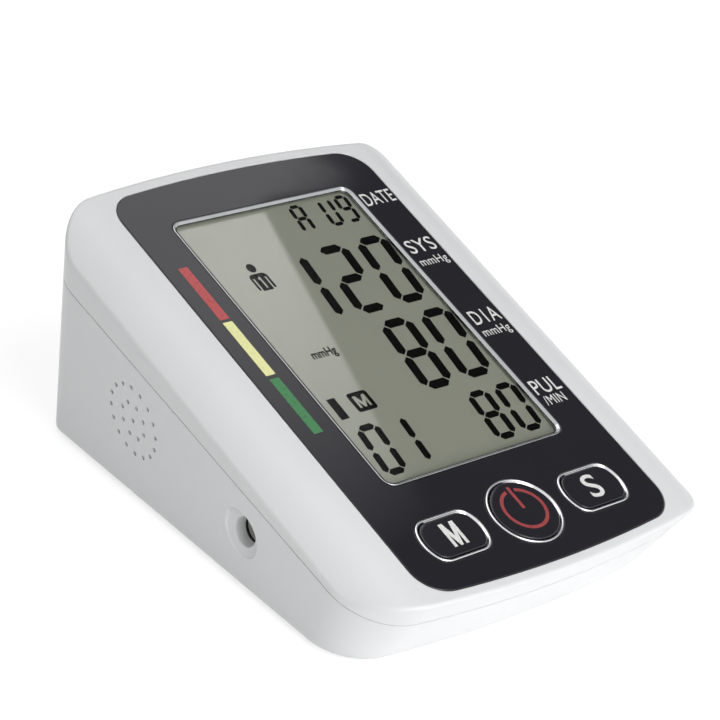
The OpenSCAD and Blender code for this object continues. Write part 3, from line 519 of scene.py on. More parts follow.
def window_acrylic():
    """Cast acrylic with a coat against glare: clear, so the figures under it stay black."""
    material, tree, place = start_material("anti_glare_cast_acrylic")
    ripple = relief(tree, noise(tree, place, 9.0, 1.0), 0.1, 0.02)
    refracted = add_node(tree, "ShaderNodeBsdfRefraction",
                         {"Normal": ripple, "Color": linear("F6F6F6"), "Roughness": 0.0,
                          "IOR": ACRYLIC_IOR})
    mirrored = add_node(tree, "ShaderNodeBsdfGlossy",
                        {"Normal": ripple, "Color": linear("FFFFFF"), "Roughness": 0.02})
    fresnel = add_node(tree, "ShaderNodeFresnel", {"IOR": ACRYLIC_IOR})
    coated = add_node(tree, "ShaderNodeMath", {0: fresnel, 1: COAT_REFLECTS},
                      operation="MULTIPLY")
    clear = add_node(tree, "ShaderNodeMixShader", {0: coated, 1: refracted, 2: mirrored})
    through = add_node(tree, "ShaderNodeBsdfTransparent", {"Color": linear("F4F4F4")})
    path = add_node(tree, "ShaderNodeLightPath").outputs
    shadow_or_diffuse = add_node(
        tree, "ShaderNodeMath", {0: path["Is Shadow Ray"], 1: path["Is Diffuse Ray"]},
        operation="MAXIMUM")
    mix = add_node(tree, "ShaderNodeMixShader", {0: shadow_or_diffuse, 1: clear, 2: through})
    add_node(tree, "ShaderNodeOutputMaterial", {"Surface": mix})
    return material


# Pitch of the winding, and the phase that Blender's wave texture runs through per unit of scale
WIRE_MM = 0.4
WAVE_PHASE = 20.0


def wound_copper():
    """Enamelled copper wire: fine bright turns side by side round the bobbin's axis."""
    material, tree, place = start_material("enamelled_copper_winding")
    turns = add_node(tree, "ShaderNodeTexWave",
                     {"Vector": place, "Scale": per_metre(WIRE_MM) * 2 * math.pi / WAVE_PHASE,
                      "Distortion": 0.2, "Detail": 1.0}, bands_direction="X").outputs["Fac"]
    shader = add_node(tree, "ShaderNodeBsdfPrincipled",
                      {"Metallic": 1.0, "Roughness": 0.3, "Coat Weight": 0.6,
                       "Base Color": tinted(tree, "B5683A", 0.12, turns),
                       "Normal": relief(tree, turns, 0.8, 0.1)})
    add_node(tree, "ShaderNodeOutputMaterial", {"Surface": shader})
    return material


METAL = {"Metallic": 1.0}
INK = (0.3, 0.05, 0.035, 0.8, 0.2, 0.002, {})
# Each finish: name, colour as sRGB hex or as a colour setting, roughness and its spread, colour
# spread, sizes of the mottle and the grain and height of the grain in mm, other shader inputs
FINISHES = {
    # Injection moulded ABS: satin white with a spark-eroded grain too fine to see singly
    "shell": ("moulded_white_abs", "shell", 0.34, 0.05, 0.012, 30, 0.35, 0.003, {"IOR": 1.53}),
    # Cast acrylic painted from behind: deep black with a wet mirror gloss
    "panel": ("black_backed_acrylic", "panel", 0.05, 0.015, 0.05, 18, 14, 0.004,
              {"IOR": ACRYLIC_IOR}),
    # Button caps: the same gloss, slightly softer from moulding
    "cap": ("moulded_gloss_black_abs", "panel", 0.09, 0.02, 0.05, 9, 5, 0.003, {"IOR": 1.53}),
    # Nickel and chrome plating on plastic: bright, with a trace of orange peel
    "chrome": ("chrome_plated_trim", "DDDEE0", 0.09, 0.03, 0.02, 4, 1.5, 0.002, METAL),
    # Satin aluminium paint on the window frame
    "frame": ("satin_silver_frame", "B4B6B8", 0.2, 0.05, 0.02, 6, 0.3, 0.001, METAL),
    # Liquid crystal cell over a bright reflector foil: grey-green, under a mirror-like front
    "display": ("reflective_display_cell", "display", 0.3, 0.01, 0.008, 7, 6, 0.0004,
                {"Coat Weight": 1.0, "Coat IOR": 2.5, "Coat Roughness": 0.0}),
    # Driven segments: liquid crystal turned dark
    "segment": ("driven_liquid_crystal", "segments", 0.08, 0.01, 0.1, 4, 6, 0.0004,
                {"Specular IOR Level": 0.1}),
    # Pad printed inks: thin, faintly uneven, a little less glossy than the panel
    "white_ink": ("printed_white_ink", "F2F2F0", *INK),
    "red_ink": ("printed_red_ink", "power_mark", *INK),
    "high_ink": ("printed_high_ink", "scale_high", *INK),
    "raised_ink": ("printed_raised_ink", "scale_raised", *INK),
    "normal_ink": ("printed_normal_ink", "scale_normal", *INK),
    # Moulded nylon and acetal parts inside: off-white, waxy
    "inner": ("moulded_natural_nylon", "E4E2DA", 0.45, 0.05, 0.02, 12, 0.4, 0.004, {}),
    # Moulded black glass-filled parts: dull with a coarse grain
    "black": ("moulded_black_nylon", "1C1C1E", 0.55, 0.05, 0.08, 12, 0.5, 0.01, {}),
    # Deep drawn steel: brushed by the press, grey and half bright
    "steel": ("drawn_steel", "B9BBBD", 0.32, 0.05, 0.05, 3, 0.2, 0.002, METAL),
    # Sintered ferrite: matte charcoal with a sandy face
    "ferrite": ("sintered_ferrite", "2B2B2D", 0.7, 0.05, 0.1, 1.5, 0.3, 0.02, {}),
    # Extruded silicone hose: milky, soft sheen
    "silicone": ("extruded_silicone", "D8D8D2", 0.4, 0.05, 0.02, 12, 0.6, 0.004,
                 {"Subsurface Weight": 0.15, "Subsurface Scale": 0.002}),
    # Moulded rubber: near black, chalky where handled
    "rubber": ("moulded_black_rubber", "202022", 0.75, 0.05, 0.12, 2.5, 0.3, 0.015, {}),
    # Glass-epoxy board under green solder mask
    "board": ("solder_masked_board", "1F6B3C", 0.35, 0.05, 0.1, 1.5, 0.5, 0.006, {}),
    # Wire insulation
    "red_wire": ("red_wire_sleeve", "B81F1A", 0.4, 0.05, 0.02, 12, 0.3, 0.004, {}),
    # Shrink sleeve printed over the steel can of a cell, without marks
    "cell": ("plain_cell_sleeve", "5A646E", 0.3, 0.05, 0.04, 5, 0.4, 0.004,
             {"Coat Weight": 0.4}),
}


def make_materials():
    """Every finish of the monitor, by what it is and how it was made."""
    colours = bpy.context.scene.monitor_colours
    made = {key: surface(name, getattr(colours, tint, tint), *numbers)
            for key, (name, tint, *numbers) in FINISHES.items()}
    return {**made, "window": window_acrylic(), "copper": wound_copper()}


MATERIALS = {}

NODES_WITH = {
    "inner": ("air_jack", "air_manifold", "lcd_holder", "plunger_memory", "plunger_power",
              "plunger_set", "pump_head"),
    "black": ("controller_chip", "dc_inlet", "pressure_sensor", "speaker_cone", "switch_memory",
              "switch_power", "switch_set"),
    "steel": ("board_screws", "contact_plates", "contact_springs", "pump_motor", "pump_rotor",
              "speaker_basket", "valve_frame", "valve_plunger"),
    "silicone": ("hose_jack", "hose_pump", "hose_sensor", "hose_valve", "zebra_strip"),
    "rubber": ("jack_seal", "lead_negative", "pump_cushion"),
    "cell": ("battery_1", "battery_2", "battery_3", "battery_4"),
    "board": ("main_board",), "copper": ("valve_coil",), "ferrite": ("speaker_magnet",),
    "red_wire": ("lead_positive",),
}


# Shells

def skin_rings():
    """Rings of the housing's outer skin from the panel's recess to the base."""
    crease = [crease_depth(i) for i in AROUND]

    def crease_in(i):
        run = roll_slope(wall_point(i, crease[i])[0])
        p = wall_point(i, crease[i], EDGE_SOFT / math.sqrt(1 + run * run))
        return at_depth(p, roll_depth(p[0]))

    def crease_blend(i, u):
        d = crease[i]
        out = at_depth(wall_point(i, d + EDGE_SOFT), d + EDGE_SOFT)
        return rounded(crease_in(i), at_depth(wall_point(i, d), d), out, u)

    def base(i, e, up):
        d = bottom_depth(i, e, up)
        return at_depth(wall_point(i, d, e), d)

    def on_roll(i, f):
        a, b = panel_point(i, -PANEL_GAP - 0.2), crease_in(i)
        p = (a[0] + (b[0] - a[0]) * f, a[1] + (b[1] - a[1]) * f)
        return at_depth(p, roll_depth(p[0]))

    # The lip round the panel: how far out from its edge, and depth
    lip = ((PANEL_GAP, PANEL_T - 0.05), (PANEL_GAP, 0.24), (PANEL_GAP + 0.03, 0.1),
           (PANEL_GAP + 0.1, 0.025))
    rings = [[at_depth(panel_point(i, -e), d) for i in AROUND] for e, d in lip]
    rings += [[on_roll(i, k / ROLL_STEPS) for i in AROUND] for k in range(ROLL_STEPS)]
    rings += [[crease_blend(i, k / CREASE_STEPS) for i in AROUND]
              for k in range(CREASE_STEPS + 1)]
    top, low = rings[-1], [base(i, 0, BASE_SOFT) for i in AROUND]
    rings += [[top[i].lerp(low[i], f) for i in AROUND] for f in (0.02, 0.2, 0.4, 0.6, 0.8, 0.985)]
    rings += [[rounded(base(i, 0, BASE_SOFT), base(i, 0, 0), base(i, BASE_SOFT, 0),
                       k / BASE_STEPS) for i in AROUND] for k in range(BASE_STEPS + 1)]
    return rings


def facing_out(bm):
    """Turns an open shell so that its outer face looks away from the middle of the housing."""
    bmesh.ops.recalc_face_normals(bm, faces=bm.faces)
    bm.normal_update()
    middle = Vector((0, PANEL_L / 2, -20))
    tally = sum(f.calc_area() * f.normal.dot((f.calc_center_median() - middle).normalized())
                for f in bm.faces)
    if tally < 0:
        bmesh.ops.reverse_faces(bm, faces=bm.faces)


def open_skin(rings, drop, above):
    """The outer skin on one side of the parting plane, which is lowered by drop."""
    bm = bmesh.new()
    _, last = bridged(bm, rings)
    if not above:
        capped(bm, last, BASE_MARGIN)
    bmesh.ops.bisect_plane(bm, geom=bm.verts[:] + bm.edges[:] + bm.faces[:], dist=WELD,
                           plane_co=(0, 0, -PART_DEPTH - drop),
                           plane_no=(0, math.sin(PART_SLOPE), math.cos(PART_SLOPE)),
                           clear_inner=above, clear_outer=not above)
    facing_out(bm)
    return bm


def shell_piece(name, rings, drop, above, node, cutters=()):
    """A dressed shell: the skin with its wall's thickness, and its openings cut."""
    obj = new_object(name, open_skin(rings, drop, above), TO_WORLD)
    shell = obj.modifiers.new("wall", "SOLIDIFY")
    shell.thickness = bpy.context.scene.monitor_sizes.shell_wall
    shell.offset = -1
    shell.use_even_offset = False
    soft = obj.modifiers.new("soft_edges", "BEVEL")
    soft.width = SOFT_EDGE / 1000
    soft.segments = 2
    soft.limit_method = "ANGLE"
    soft.angle_limit = math.radians(60)
    settle(obj)
    if cutters:
        cut_away(obj, cutters)
    even_shading(obj)
    dress(obj, "shell", "housing", (node,))


def inside_works(name, rings, drop, above, node, cutters=()):
    """The ribs, seats and towers that the frame's solid has within the dressed shell."""
    inset = size_mm("shell_wall") - WALL_BITE
    bm = open_skin(rings, drop, above)
    bm.normal_update()
    for vert, inward in [(v, v.normal * inset) for v in bm.verts]:
        vert.co -= inward
    bmesh.ops.holes_fill(bm, edges=[e for e in bm.edges if e.is_boundary], sides=0)
    outward(bm)
    limit = new_object(name + "_limit", bm, TO_WORLD)
    bm = bmesh.new()
    bm.from_mesh(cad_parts[node].data)
    bmesh.ops.remove_doubles(bm, verts=bm.verts, dist=1e-6)
    obj = new_object(name, bm, Matrix.Identity(4))
    cut_away(obj, [limit], "INTERSECT")
    if cutters:
        cut_away(obj, cutters)
    bm = bmesh.new()
    bm.from_mesh(obj.data)
    if bm.calc_volume(signed=True) < 0:
        bmesh.ops.reverse_faces(bm, faces=bm.faces)
    bm.to_mesh(obj.data)
    bm.free()
    dress(obj, "shell", "housing")


class MONITOR_OT_top_cover(bpy.types.Operator):
    """Upper shell: the roll down each side, the crease and the lip round the panel"""
    bl_idname = "monitor.top_cover"
    bl_label = "Top cover"

    def execute(self, context):
        rings = skin_rings()
        shell_piece("cover_shell", rings, 0, True, "top_cover")
        inside_works("cover_inside", rings[COVER_FROM:], 0, True, "top_cover")
        return {"FINISHED"}


class MONITOR_OT_bottom_case(bpy.types.Operator):
    """Lower shell with its tongue, grille, socket recess, screw pits and battery opening"""
    bl_idname = "monitor.bottom_case"
    bl_label = "Bottom case"

    def execute(self, context):
        rings = skin_rings()[CASE_FROM:]
        shell_piece("case_shell", rings, PART_GAP, False, "bottom_case", self.cutters())
        self.tongue()
        self.socket_seat()
        bm = bmesh.new()
        tube_along_x(bm, LEFT_WALL[0], SEAT_BACK + 0.1, SPOT_R + 1.3, *SOCKET, 64)
        inside_works("case_inside", rings, PART_GAP, False, "bottom_case",
                     [new_object("seat_cut", bm, MILLIMETRES)])
        return {"FINISHED"}

    @staticmethod
    def cutters():
        bm = bmesh.new()
        places = [(0, 0)] + [turned(0, 0, GRILLE_R / 2, 45 * k + 22.5) for k in range(8)]
        places += [turned(0, 0, GRILLE_R, 22.5 * k) for k in range(16)]
        for dy, dz in places:
            tube_along_x(bm, *LEFT_WALL, GRILLE_HOLE_R, GRILLE[0] + dy, GRILLE[1] + dz, 20)
        holes = new_object("grille_cut", bm, MILLIMETRES)
        bm = bmesh.new()
        tube_along_x(bm, *LEFT_WALL, SPOT_R, *SOCKET, 64)
        tube_along_x(bm, *RIGHT_WALL, INLET_HOLE_R, *SOCKET, 48)
        for x, y, _ in both_sides(SCREWS):
            upright(bm, x, y, -2, 8, SCREW_HEAD_R + 0.3)
        ports = new_object("port_cut", bm, MILLIMETRES)
        bm = bmesh.new()
        half = DOOR_W / 2 + SLOT_GAP
        brick(bm, -half, half, DOOR_FRONT - SLOT_GAP, 90, -2, FOOT_H + DOOR_T + SLOT_GAP)
        bay = new_object("bay_cut", bm, MILLIMETRES)
        return [holes, ports, bay]

    @staticmethod
    def tongue():
        """The tongue that bridges the seam, seen as the floor of the groove."""
        def at_seam(i, e, drop):
            d = 12.0
            for _ in range(8):
                d = PART_DEPTH + drop + wall_point(i, d, e)[1] * math.tan(PART_SLOPE)
            return at_depth(wall_point(i, d, e), d)

        wall = 1.25
        profile = ((wall, 3.0), (wall, -1.2), (wall + 0.6, -1.2), (wall + 0.6, 3.0))
        bm = bmesh.new()
        bridged(bm, [[at_seam(i, e, drop) for i in AROUND] for e, drop in profile], closed=True)
        outward(bm)
        obj = new_object("case_tongue", bm, TO_WORLD)
        dress(obj, "shell", "housing")

    @staticmethod
    def socket_seat():
        """The round flat that the air socket's hole is in, let into the left wall."""
        bm = bmesh.new()
        profile = [(-SPOT_X - 0.25, SPOT_R + 0.02),
                   (-SPOT_X - 0.06, SPOT_R - 0.06), (-SPOT_X, SPOT_R - 0.25),
                   (-SPOT_X, SOCKET_HOLE_R + 0.35), (-SPOT_X + 0.1, SOCKET_HOLE_R + 0.1),
                   (-SPOT_X + 0.35, SOCKET_HOLE_R), (SEAT_BACK, SOCKET_HOLE_R),
                   (SEAT_BACK, SPOT_R + 1.2), (-47.2, SPOT_R + 1.2)]
        edges = loop(bm, [(x, r, 0) for x, r in profile])
        bmesh.ops.spin(bm, geom=bm.verts[:] + edges, axis=(1, 0, 0), cent=(0, 0, 0), dvec=(0, 0, 0),
                       angle=2 * math.pi, steps=64, use_merge=True)
        outward(bm)
        bmesh.ops.translate(bm, vec=(0, SOCKET[0], SOCKET[1]), verts=bm.verts)
        obj = new_object("socket_seat", bm, MILLIMETRES, sharp=50)
        dress(obj, "shell", "housing")


# Front panel

def plate_with_holes(bm, outer, holes, d):
    """A flat face at depth d, bounded by the outer ring and the rings of its holes."""
    edges = loop(bm, [at_depth(p, d) for p in outer])
    for hole in holes:
        edges += loop(bm, [at_depth(p, d) for p in hole])
    bmesh.ops.triangle_fill(bm, edges=edges, use_beauty=True, use_dissolve=True)


class MONITOR_OT_front_panel(bpy.types.Operator):
    """Black panel with its window and button openings and its printed scale and words"""
    bl_idname = "monitor.front_panel"
    bl_label = "Front panel"

    def execute(self, context):
        bm = bmesh.new()
        window = moved(soft_rectangle(WINDOW_W + 0.1, WINDOW_L + 0.1, WINDOW_R), 0, WINDOW_MID)
        holes = [window] + [moved(button_outline(kind, -0.05), button_x(kind), BUTTON_T)
                            for kind in BODY_OF]
        plate_with_holes(bm, [panel_point(i) for i in AROUND], holes, PANEL_T)
        thickened(bm, PANEL_T)
        rim = [e for e in bm.edges
               if all(abs(v.co.z) < 1e-6 for v in e.verts) and e.calc_face_angle(0) > 1]
        bmesh.ops.bevel(bm, geom=rim, offset=size_mm("panel_edge"), segments=3, profile=0.5,
                        affect="EDGES", material=-1)
        obj = new_object("panel_plate", bm, TO_WORLD, sharp=40)
        even_shading(obj, 40)
        dress(obj, "panel", "housing", ("fascia_panel",))
        self.scale_bars()
        self.words()
        return {"FINISHED"}

    @staticmethod
    def scale_bars():
        for name, ink, t0, t1 in (("scale_normal", "normal_ink", 48.9, 66.0),
                                  ("scale_raised", "raised_ink", 67.1, 84.2),
                                  ("scale_high", "high_ink", 85.1, 102.2)):
            outline = moved(soft_rectangle(2.65, t1 - t0, 0.12, 3), -32.8, (t0 + t1) / 2)
            printed(name, [outline], ink)

    @staticmethod
    def words():
        for name, text, box, bold, spacing in (
                ("word_date", "DATE", (28.1, 37.6, 107.8, 112.0), 0.004, 1.04),
                ("word_systolic", "SYS", (28.6, 37.1, 90.3, 94.7), 0.004, 1.04),
                ("unit_systolic", "mmHg", (28.6, 37.2, 85.2, 88.6), 0.0, 1.06),
                ("word_diastolic", "DIA", (28.9, 37.4, 65.3, 69.7), 0.004, 1.35),
                ("unit_diastolic", "mmHg", (28.6, 37.2, 60.6, 64.0), 0.0, 1.06),
                ("word_pulse", "PUL", (28.6, 36.8, 41.6, 46.0), 0.004, 1.04),
                ("unit_pulse", "/MIN", (28.9, 35.3, 38.1, 40.9), 0.0, 1.06)):
            lettered(name, text, box, bold, "white_ink", spacing=spacing)


def printed(name, outlines, ink, body="housing", d=0.0, rise=None):
    """A printed mark: flat outlines given a print's thickness, standing on depth d."""
    rise = size_mm("print_rise") if rise is None else rise
    bm = bmesh.new()
    for outline in outlines:
        plate_with_holes(bm, outline, [], d)
    thickened(bm, rise)
    obj = new_object(name, bm, TO_WORLD, sharp=30)
    return dress(obj, ink, body)


def lettered(name, text, box, bold, ink, body="housing", d=0.0, lean=0.0,
             spacing=1.0, heavy=0.0):
    """Words set in the built-in face, fitted to a box (x0, x1, t0, t1) and given thickness."""
    curve = bpy.data.curves.new(name, "FONT")
    curve.body = text
    curve.offset = bold
    curve.bevel_depth = heavy
    curve.bevel_resolution = 0
    curve.space_character = spacing
    curve.resolution_u = 6
    curve.extrude = PRINT_FOOT
    words = bpy.data.objects.new(name, curve)
    bpy.context.scene.collection.objects.link(words)
    graph = bpy.context.evaluated_depsgraph_get()
    graph.update()
    mesh = bpy.data.meshes.new_from_object(words.evaluated_get(graph))
    bpy.data.objects.remove(words)
    bpy.data.curves.remove(curve)
    bm = bmesh.new()
    bm.from_mesh(mesh)
    bpy.data.meshes.remove(mesh)
    bmesh.ops.remove_doubles(bm, verts=bm.verts, dist=1e-6)
    xs, ys = [v.co.x for v in bm.verts], [v.co.y for v in bm.verts]
    x0, x1, t0, t1 = box
    low_x, low_y = min(xs), min(ys)
    sx, sy = (x1 - x0) / (max(xs) - low_x), (t1 - t0) / (max(ys) - low_y)
    rise = size_mm("print_rise")
    for v in bm.verts:
        t = (v.co.y - low_y) * sy
        v.co = Vector((x0 + (v.co.x - low_x) * sx + lean * t, t0 + t,
                       -d + (rise if v.co.z > 0 else -PRINT_FOOT)))
    bmesh.ops.recalc_face_normals(bm, faces=bm.faces)
    obj = new_object(name, bm, TO_WORLD, sharp=30)
    return dress(obj, ink, body)


def capital_m(x0, x1, t0, t1, stroke):
    """Outline of a narrow block M whose middle reaches its foot."""
    mid, foot, shoulder = (x0 + x1) / 2, stroke * 0.42, stroke * 1.35
    notch, counter = t0 + 0.4 * (t1 - t0), t1 - 0.45 * (t1 - t0)
    return [(x0, t0), (x0, t1), (x0 + shoulder, t1), (mid, notch), (x1 - shoulder, t1),
            (x1, t1), (x1, t0), (x1 - stroke, t0), (x1 - stroke, counter), (mid + foot, t0),
            (mid - foot, t0), (x0 + stroke, counter), (x0 + stroke, t0)]


# Display

SEGMENTS = {"0": "abcdef", "1": "bc", "2": "abged", "8": "abcdefg", "9": "abcfgd", "A": "abcefg",
            "U": "bcdef"}
LEAN = 0.105


def segment_outlines(figure, cx, ct, w, h, bar):
    """Hexagon bars of one seven-segment figure, leaning as on the display; w and h are half
    its width and a quarter of its height."""
    gap = 0.14 * bar
    flat = bar / 2

    def bar_shape(ax, at, bx, bt):
        a, b = Vector((ax, at)), Vector((bx, bt))
        along = (b - a).normalized()
        side = Vector((-along.y, along.x)) * flat
        a, b = a + along * gap, b - along * gap
        tip = along * flat
        pts = (a, a + tip * 0.9 + side, b - tip * 0.9 + side, b, b - tip * 0.9 - side,
               a + tip * 0.9 - side)
        return [(cx + p.x + LEAN * p.y, ct + p.y) for p in pts]

    places = {"a": (-w, h, w, h), "g": (-w, 0, w, 0), "d": (-w, -h, w, -h),
              "f": (-w, 0, -w, h), "b": (w, 0, w, h), "e": (-w, -h, -w, 0), "c": (w, -h, w, 0)}
    return [bar_shape(*places[s]) for s in SEGMENTS[figure]]


def shown(name, outlines, ink="segment", rise=None):
    """A mark on the display cell; a pale one stands over a dark one."""
    printed(name, outlines, ink, "housing", CELL_D, rise)


class MONITOR_OT_display(bpy.types.Operator):
    """Window frame, clear window, display cell and everything that the display shows"""
    bl_idname = "monitor.display"
    bl_label = "Display"

    def execute(self, context):
        self.frame_and_window()
        self.cell()
        self.readings()
        self.symbols()
        return {"FINISHED"}

    @staticmethod
    def frame_and_window():
        def outline(e):
            r = WINDOW_R - min(e, WINDOW_R - 0.6)
            return moved(soft_rectangle(WINDOW_W - 2 * e, WINDOW_L - 2 * e, r), 0, WINDOW_MID)
        bm = bmesh.new()
        lathe_ring(bm, outline, [(0, PANEL_T), (0, 0.0), (0.06, -0.1), (0.2, -0.15),
                                 (0.34, -0.1), (0.42, 0.02), (0.8, 0.26), (0.88, 0.34),
                                 (RIM_W, 0.5), (RIM_W, PANEL_T - 0.05)])
        obj = new_object("window_frame", bm, TO_WORLD, sharp=50)
        even_shading(obj, 50)
        dress(obj, "frame", "housing", ("lcd_rim",))
        bm = bmesh.new()
        plate_with_holes(bm, outline(RIM_W + 0.05), [], 1.1)
        thickened(bm, 0.8)
        obj = new_object("window_pane", bm, TO_WORLD)
        dress(obj, "window", "housing", ("lcd_window",))

    @staticmethod
    def cell():
        bm = bmesh.new()
        brick(bm, -WINDOW_W / 2 - 0.9, WINDOW_W / 2 + 0.9, WINDOW_MID - WINDOW_L / 2 - 1.2,
              WINDOW_MID + WINDOW_L / 2 + 1.2, -CELL_D - CELL_T, -CELL_D)
        bmesh.ops.bevel(bm, geom=bm.edges[:], offset=0.15, segments=1, profile=0.5,
                        affect="EDGES", material=-1)
        obj = new_object("display_cell", bm, TO_WORLD)
        dress(obj, "display", "housing", ("lcd_cell",))

    @staticmethod
    def readings():
        big, small, tiny = (3.57, 9.85, 2.5), (2.46, 6.55, 1.8), (1.5, 4.04, 1.12)
        rows = (("reading_systolic", big, 88.65, (("1", -4.7), ("2", 8.35), ("0", 20.8))),
                ("reading_diastolic", big, 63.25, (("8", 8.45), ("0", 20.8))),
                ("reading_pulse", small, 41.2, (("8", 13.96), ("0", 22.3))),
                ("reading_store", small, 41.0, (("0", -20.1), ("1", -12.5))),
                ("reading_top", tiny, 109.6, (("A", 9.0), ("U", 18.0), ("9", 23.2))))
        for name, kind, t, figures in rows:
            shown(name, [bar for figure, x in figures
                         for bar in segment_outlines(figure, x, t, *kind)])

    @staticmethod
    def symbols():
        shown("level_bar", [[(-23.75, 51.2), (-21.4, 51.2), (-21.25, 57.5), (-23.6, 57.5)]])
        lettered("unit_display", "mmHg", (-18.25, -11.05, 68.1, 71.5), 0, "segment", "housing",
                 CELL_D, lean=0.05, heavy=0.02)
        head = moved([(x * 0.92, y * 1.08) for x, y in circle_outline(1.3, 28)], -14.85, 98.55)
        body = [(-17.35, 91.6), (-16.75, 91.6), (-16.75, 95.3), (-16.3, 95.3), (-16.3, 91.2),
                (-13.35, 91.2), (-13.35, 95.3), (-12.9, 95.3), (-12.9, 91.6), (-12.25, 91.6),
                (-12.25, 95.6), (-12.65, 96.35), (-13.35, 96.65), (-16.3, 96.65),
                (-17.0, 96.35), (-17.35, 95.6)]
        shown("person_mark", [head, body])
        number = [(-14.55, 91.9), (-14.55, 95.5), (-14.95, 95.5), (-15.45, 94.95),
                  (-15.2, 94.7), (-14.98, 94.92), (-14.98, 91.9)]
        shown("person_number", [number], "display", PALE_RISE)
        shown("memory_mark", [moved(soft_rectangle(5.7, 5.7, 0.8, 4), -15.15, 54.65)])
        shown("memory_letter", [capital_m(-16.9, -13.4, 52.9, 56.4, 0.62)], "display", PALE_RISE)


# Buttons

class MONITOR_OT_buttons(bpy.types.Operator):
    """Three caps in bright rings, with their marks; each rides on its own sprung key"""
    bl_idname = "monitor.buttons"
    bl_label = "Buttons"

    def execute(self, context):
        for kind in BODY_OF:
            self.ring(kind, size_mm("ring_rise"))
            self.cap(kind)
        self.power_mark()
        printed("letter_memory", [capital_m(-23.6, -19.35, 10.9, 17.4, 0.84)], "white_ink",
                BODY_OF["memory"], -CAP_RISE)
        lettered("letter_set", "S", (19.55, 23.7, 10.95, 17.5), 0.009, "white_ink",
                 BODY_OF["set"], -CAP_RISE)
        return {"FINISHED"}

    @staticmethod
    def ring(kind, rise):
        def outline(e):
            return moved(button_outline(kind, e), button_x(kind), BUTTON_T)
        bm = bmesh.new()
        lathe_ring(bm, outline, [(0, PANEL_T), (0, -0.02), (0.06, -rise * 0.62),
                                 (0.17, -rise * 0.93), (0.3, -rise), (0.42, -rise * 0.9),
                                 (0.5, -rise * 0.55), (0.56, -0.02), (0.76, 0.1), (0.82, 0.2),
                                 (RING_W, 0.34), (RING_W, PANEL_T - 0.05)])
        obj = new_object("bright_ring_" + kind, bm, TO_WORLD, sharp=60)
        even_shading(obj, 60)
        dress(obj, "chrome", "housing", ("ring_" + kind,))

    @staticmethod
    def cap(kind):
        inset = RING_W + BUTTON_GAP
        x = button_x(kind)

        def ring_at(e, d):
            return [at_depth(p, d) for p in moved(button_outline(kind, inset + e), x, BUTTON_T)]
        bm = bmesh.new()
        rings = [ring_at(-0.7, 2.5), ring_at(-0.7, 1.64), ring_at(0.0, 1.6),
                 ring_at(0.0, CAP_SOFT - CAP_RISE)]
        rings += [ring_at(CAP_SOFT * (1 - math.cos(a)), CAP_SOFT * (1 - math.sin(a)) - CAP_RISE)
                  for a in (0.3, 0.6, 0.9, 1.2, math.pi / 2)]
        first, last = bridged(bm, rings)
        capped(bm, first)
        capped(bm, last, 0.5)
        upright(bm, x, BUTTON_T, -3.7, -2.4, 2.0)
        outward(bm)
        obj = new_object("cap_" + kind, bm, TO_WORLD, sharp=40)
        even_shading(obj, 40)
        dress(obj, "cap", BODY_OF[kind], ("button_" + kind,))

    @staticmethod
    def power_mark():
        gap, mid, half = 13.0, 5.38, 0.43
        turns = [90 + gap + (360 - 2 * gap) * k / 60 for k in range(61)]
        arc = [turned(0, 0, mid + half, a) for a in turns]
        arc += [turned(0, 0, mid - half, a) for a in reversed(turns)]
        bar = soft_rectangle(0.88, 6.4, 0.2, 4)
        at = (0.25, BUTTON_T + 0.5)
        printed("power_mark", [moved(arc, *at), moved(bar, at[0], BUTTON_T + 3.75)], "red_ink",
                BODY_OF["power"], -CAP_RISE)


# Door, feet and screws

class MONITOR_OT_underside(bpy.types.Operator):
    """Battery door, rubber feet and the cross-head screws in their pits"""
    bl_idname = "monitor.underside"
    bl_label = "Underside"

    def execute(self, context):
        self.door()
        self.feet()
        self.screws()
        return {"FINISHED"}

    @staticmethod
    def door():
        """The frame's own door, welded, with its edges rounded."""
        bm = bmesh.new()
        bm.from_mesh(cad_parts["battery_door"].data)
        bmesh.ops.remove_doubles(bm, verts=bm.verts, dist=1e-7)
        bmesh.ops.dissolve_limit(bm, angle_limit=math.radians(1), verts=bm.verts, edges=bm.edges)
        edges = [e for e in bm.edges if e.calc_face_angle(0) > math.radians(40)]
        bmesh.ops.bevel(bm, geom=edges, offset=0.00018, segments=2, profile=0.5,
                        affect="EDGES", material=-1, clamp_overlap=True)
        obj = new_object("door_leaf", bm, Matrix.Identity(4))
        even_shading(obj)
        dress(obj, "shell", "door", ("battery_door",))

    @staticmethod
    def feet():
        bm = bmesh.new()
        profile = [(0, 0.0), (FOOT_R - 0.6, 0.0), (FOOT_R - 0.2, 0.12), (FOOT_R, 0.5),
                   (FOOT_R, 1.5), (0, 1.5)]
        for x, y in both_sides(FEET):
            spun(bm, profile, x, y, 40)
        outward(bm)
        obj = new_object("feet", bm, MILLIMETRES)
        even_shading(obj)
        dress(obj, "rubber", "housing", ("rubber_feet",))

    @staticmethod
    def screws():
        bm = bmesh.new()
        for x, y, top in both_sides(SCREWS):
            spun(bm, [(0, top - 1.7), (1.6, top - 1.62), (2.3, top - 1.35),
                      (SCREW_HEAD_R, top - 0.8), (SCREW_HEAD_R, top), (1.45, top),
                      (1.45, top + 10.6), (0, top + 11)], x, y, 32)
        outward(bm)
        obj = new_object("pan_head_screws", bm, MILLIMETRES)
        cutters = []
        for name, half_x, half_y in (("cross_cut_a", CROSS_HALF, SLOT_HALF),
                                     ("cross_cut_b", SLOT_HALF, CROSS_HALF)):
            bm = bmesh.new()
            for x, y, top in both_sides(SCREWS):
                brick(bm, x - half_x, x + half_x, y - half_y, y + half_y,
                      top + CROSS_DEPTH[0], top + CROSS_DEPTH[1])
            cutters.append(new_object(name, bm, MILLIMETRES))
        cut_away(obj, cutters)
        even_shading(obj)
        dress(obj, "steel", "housing", ("case_screws",))


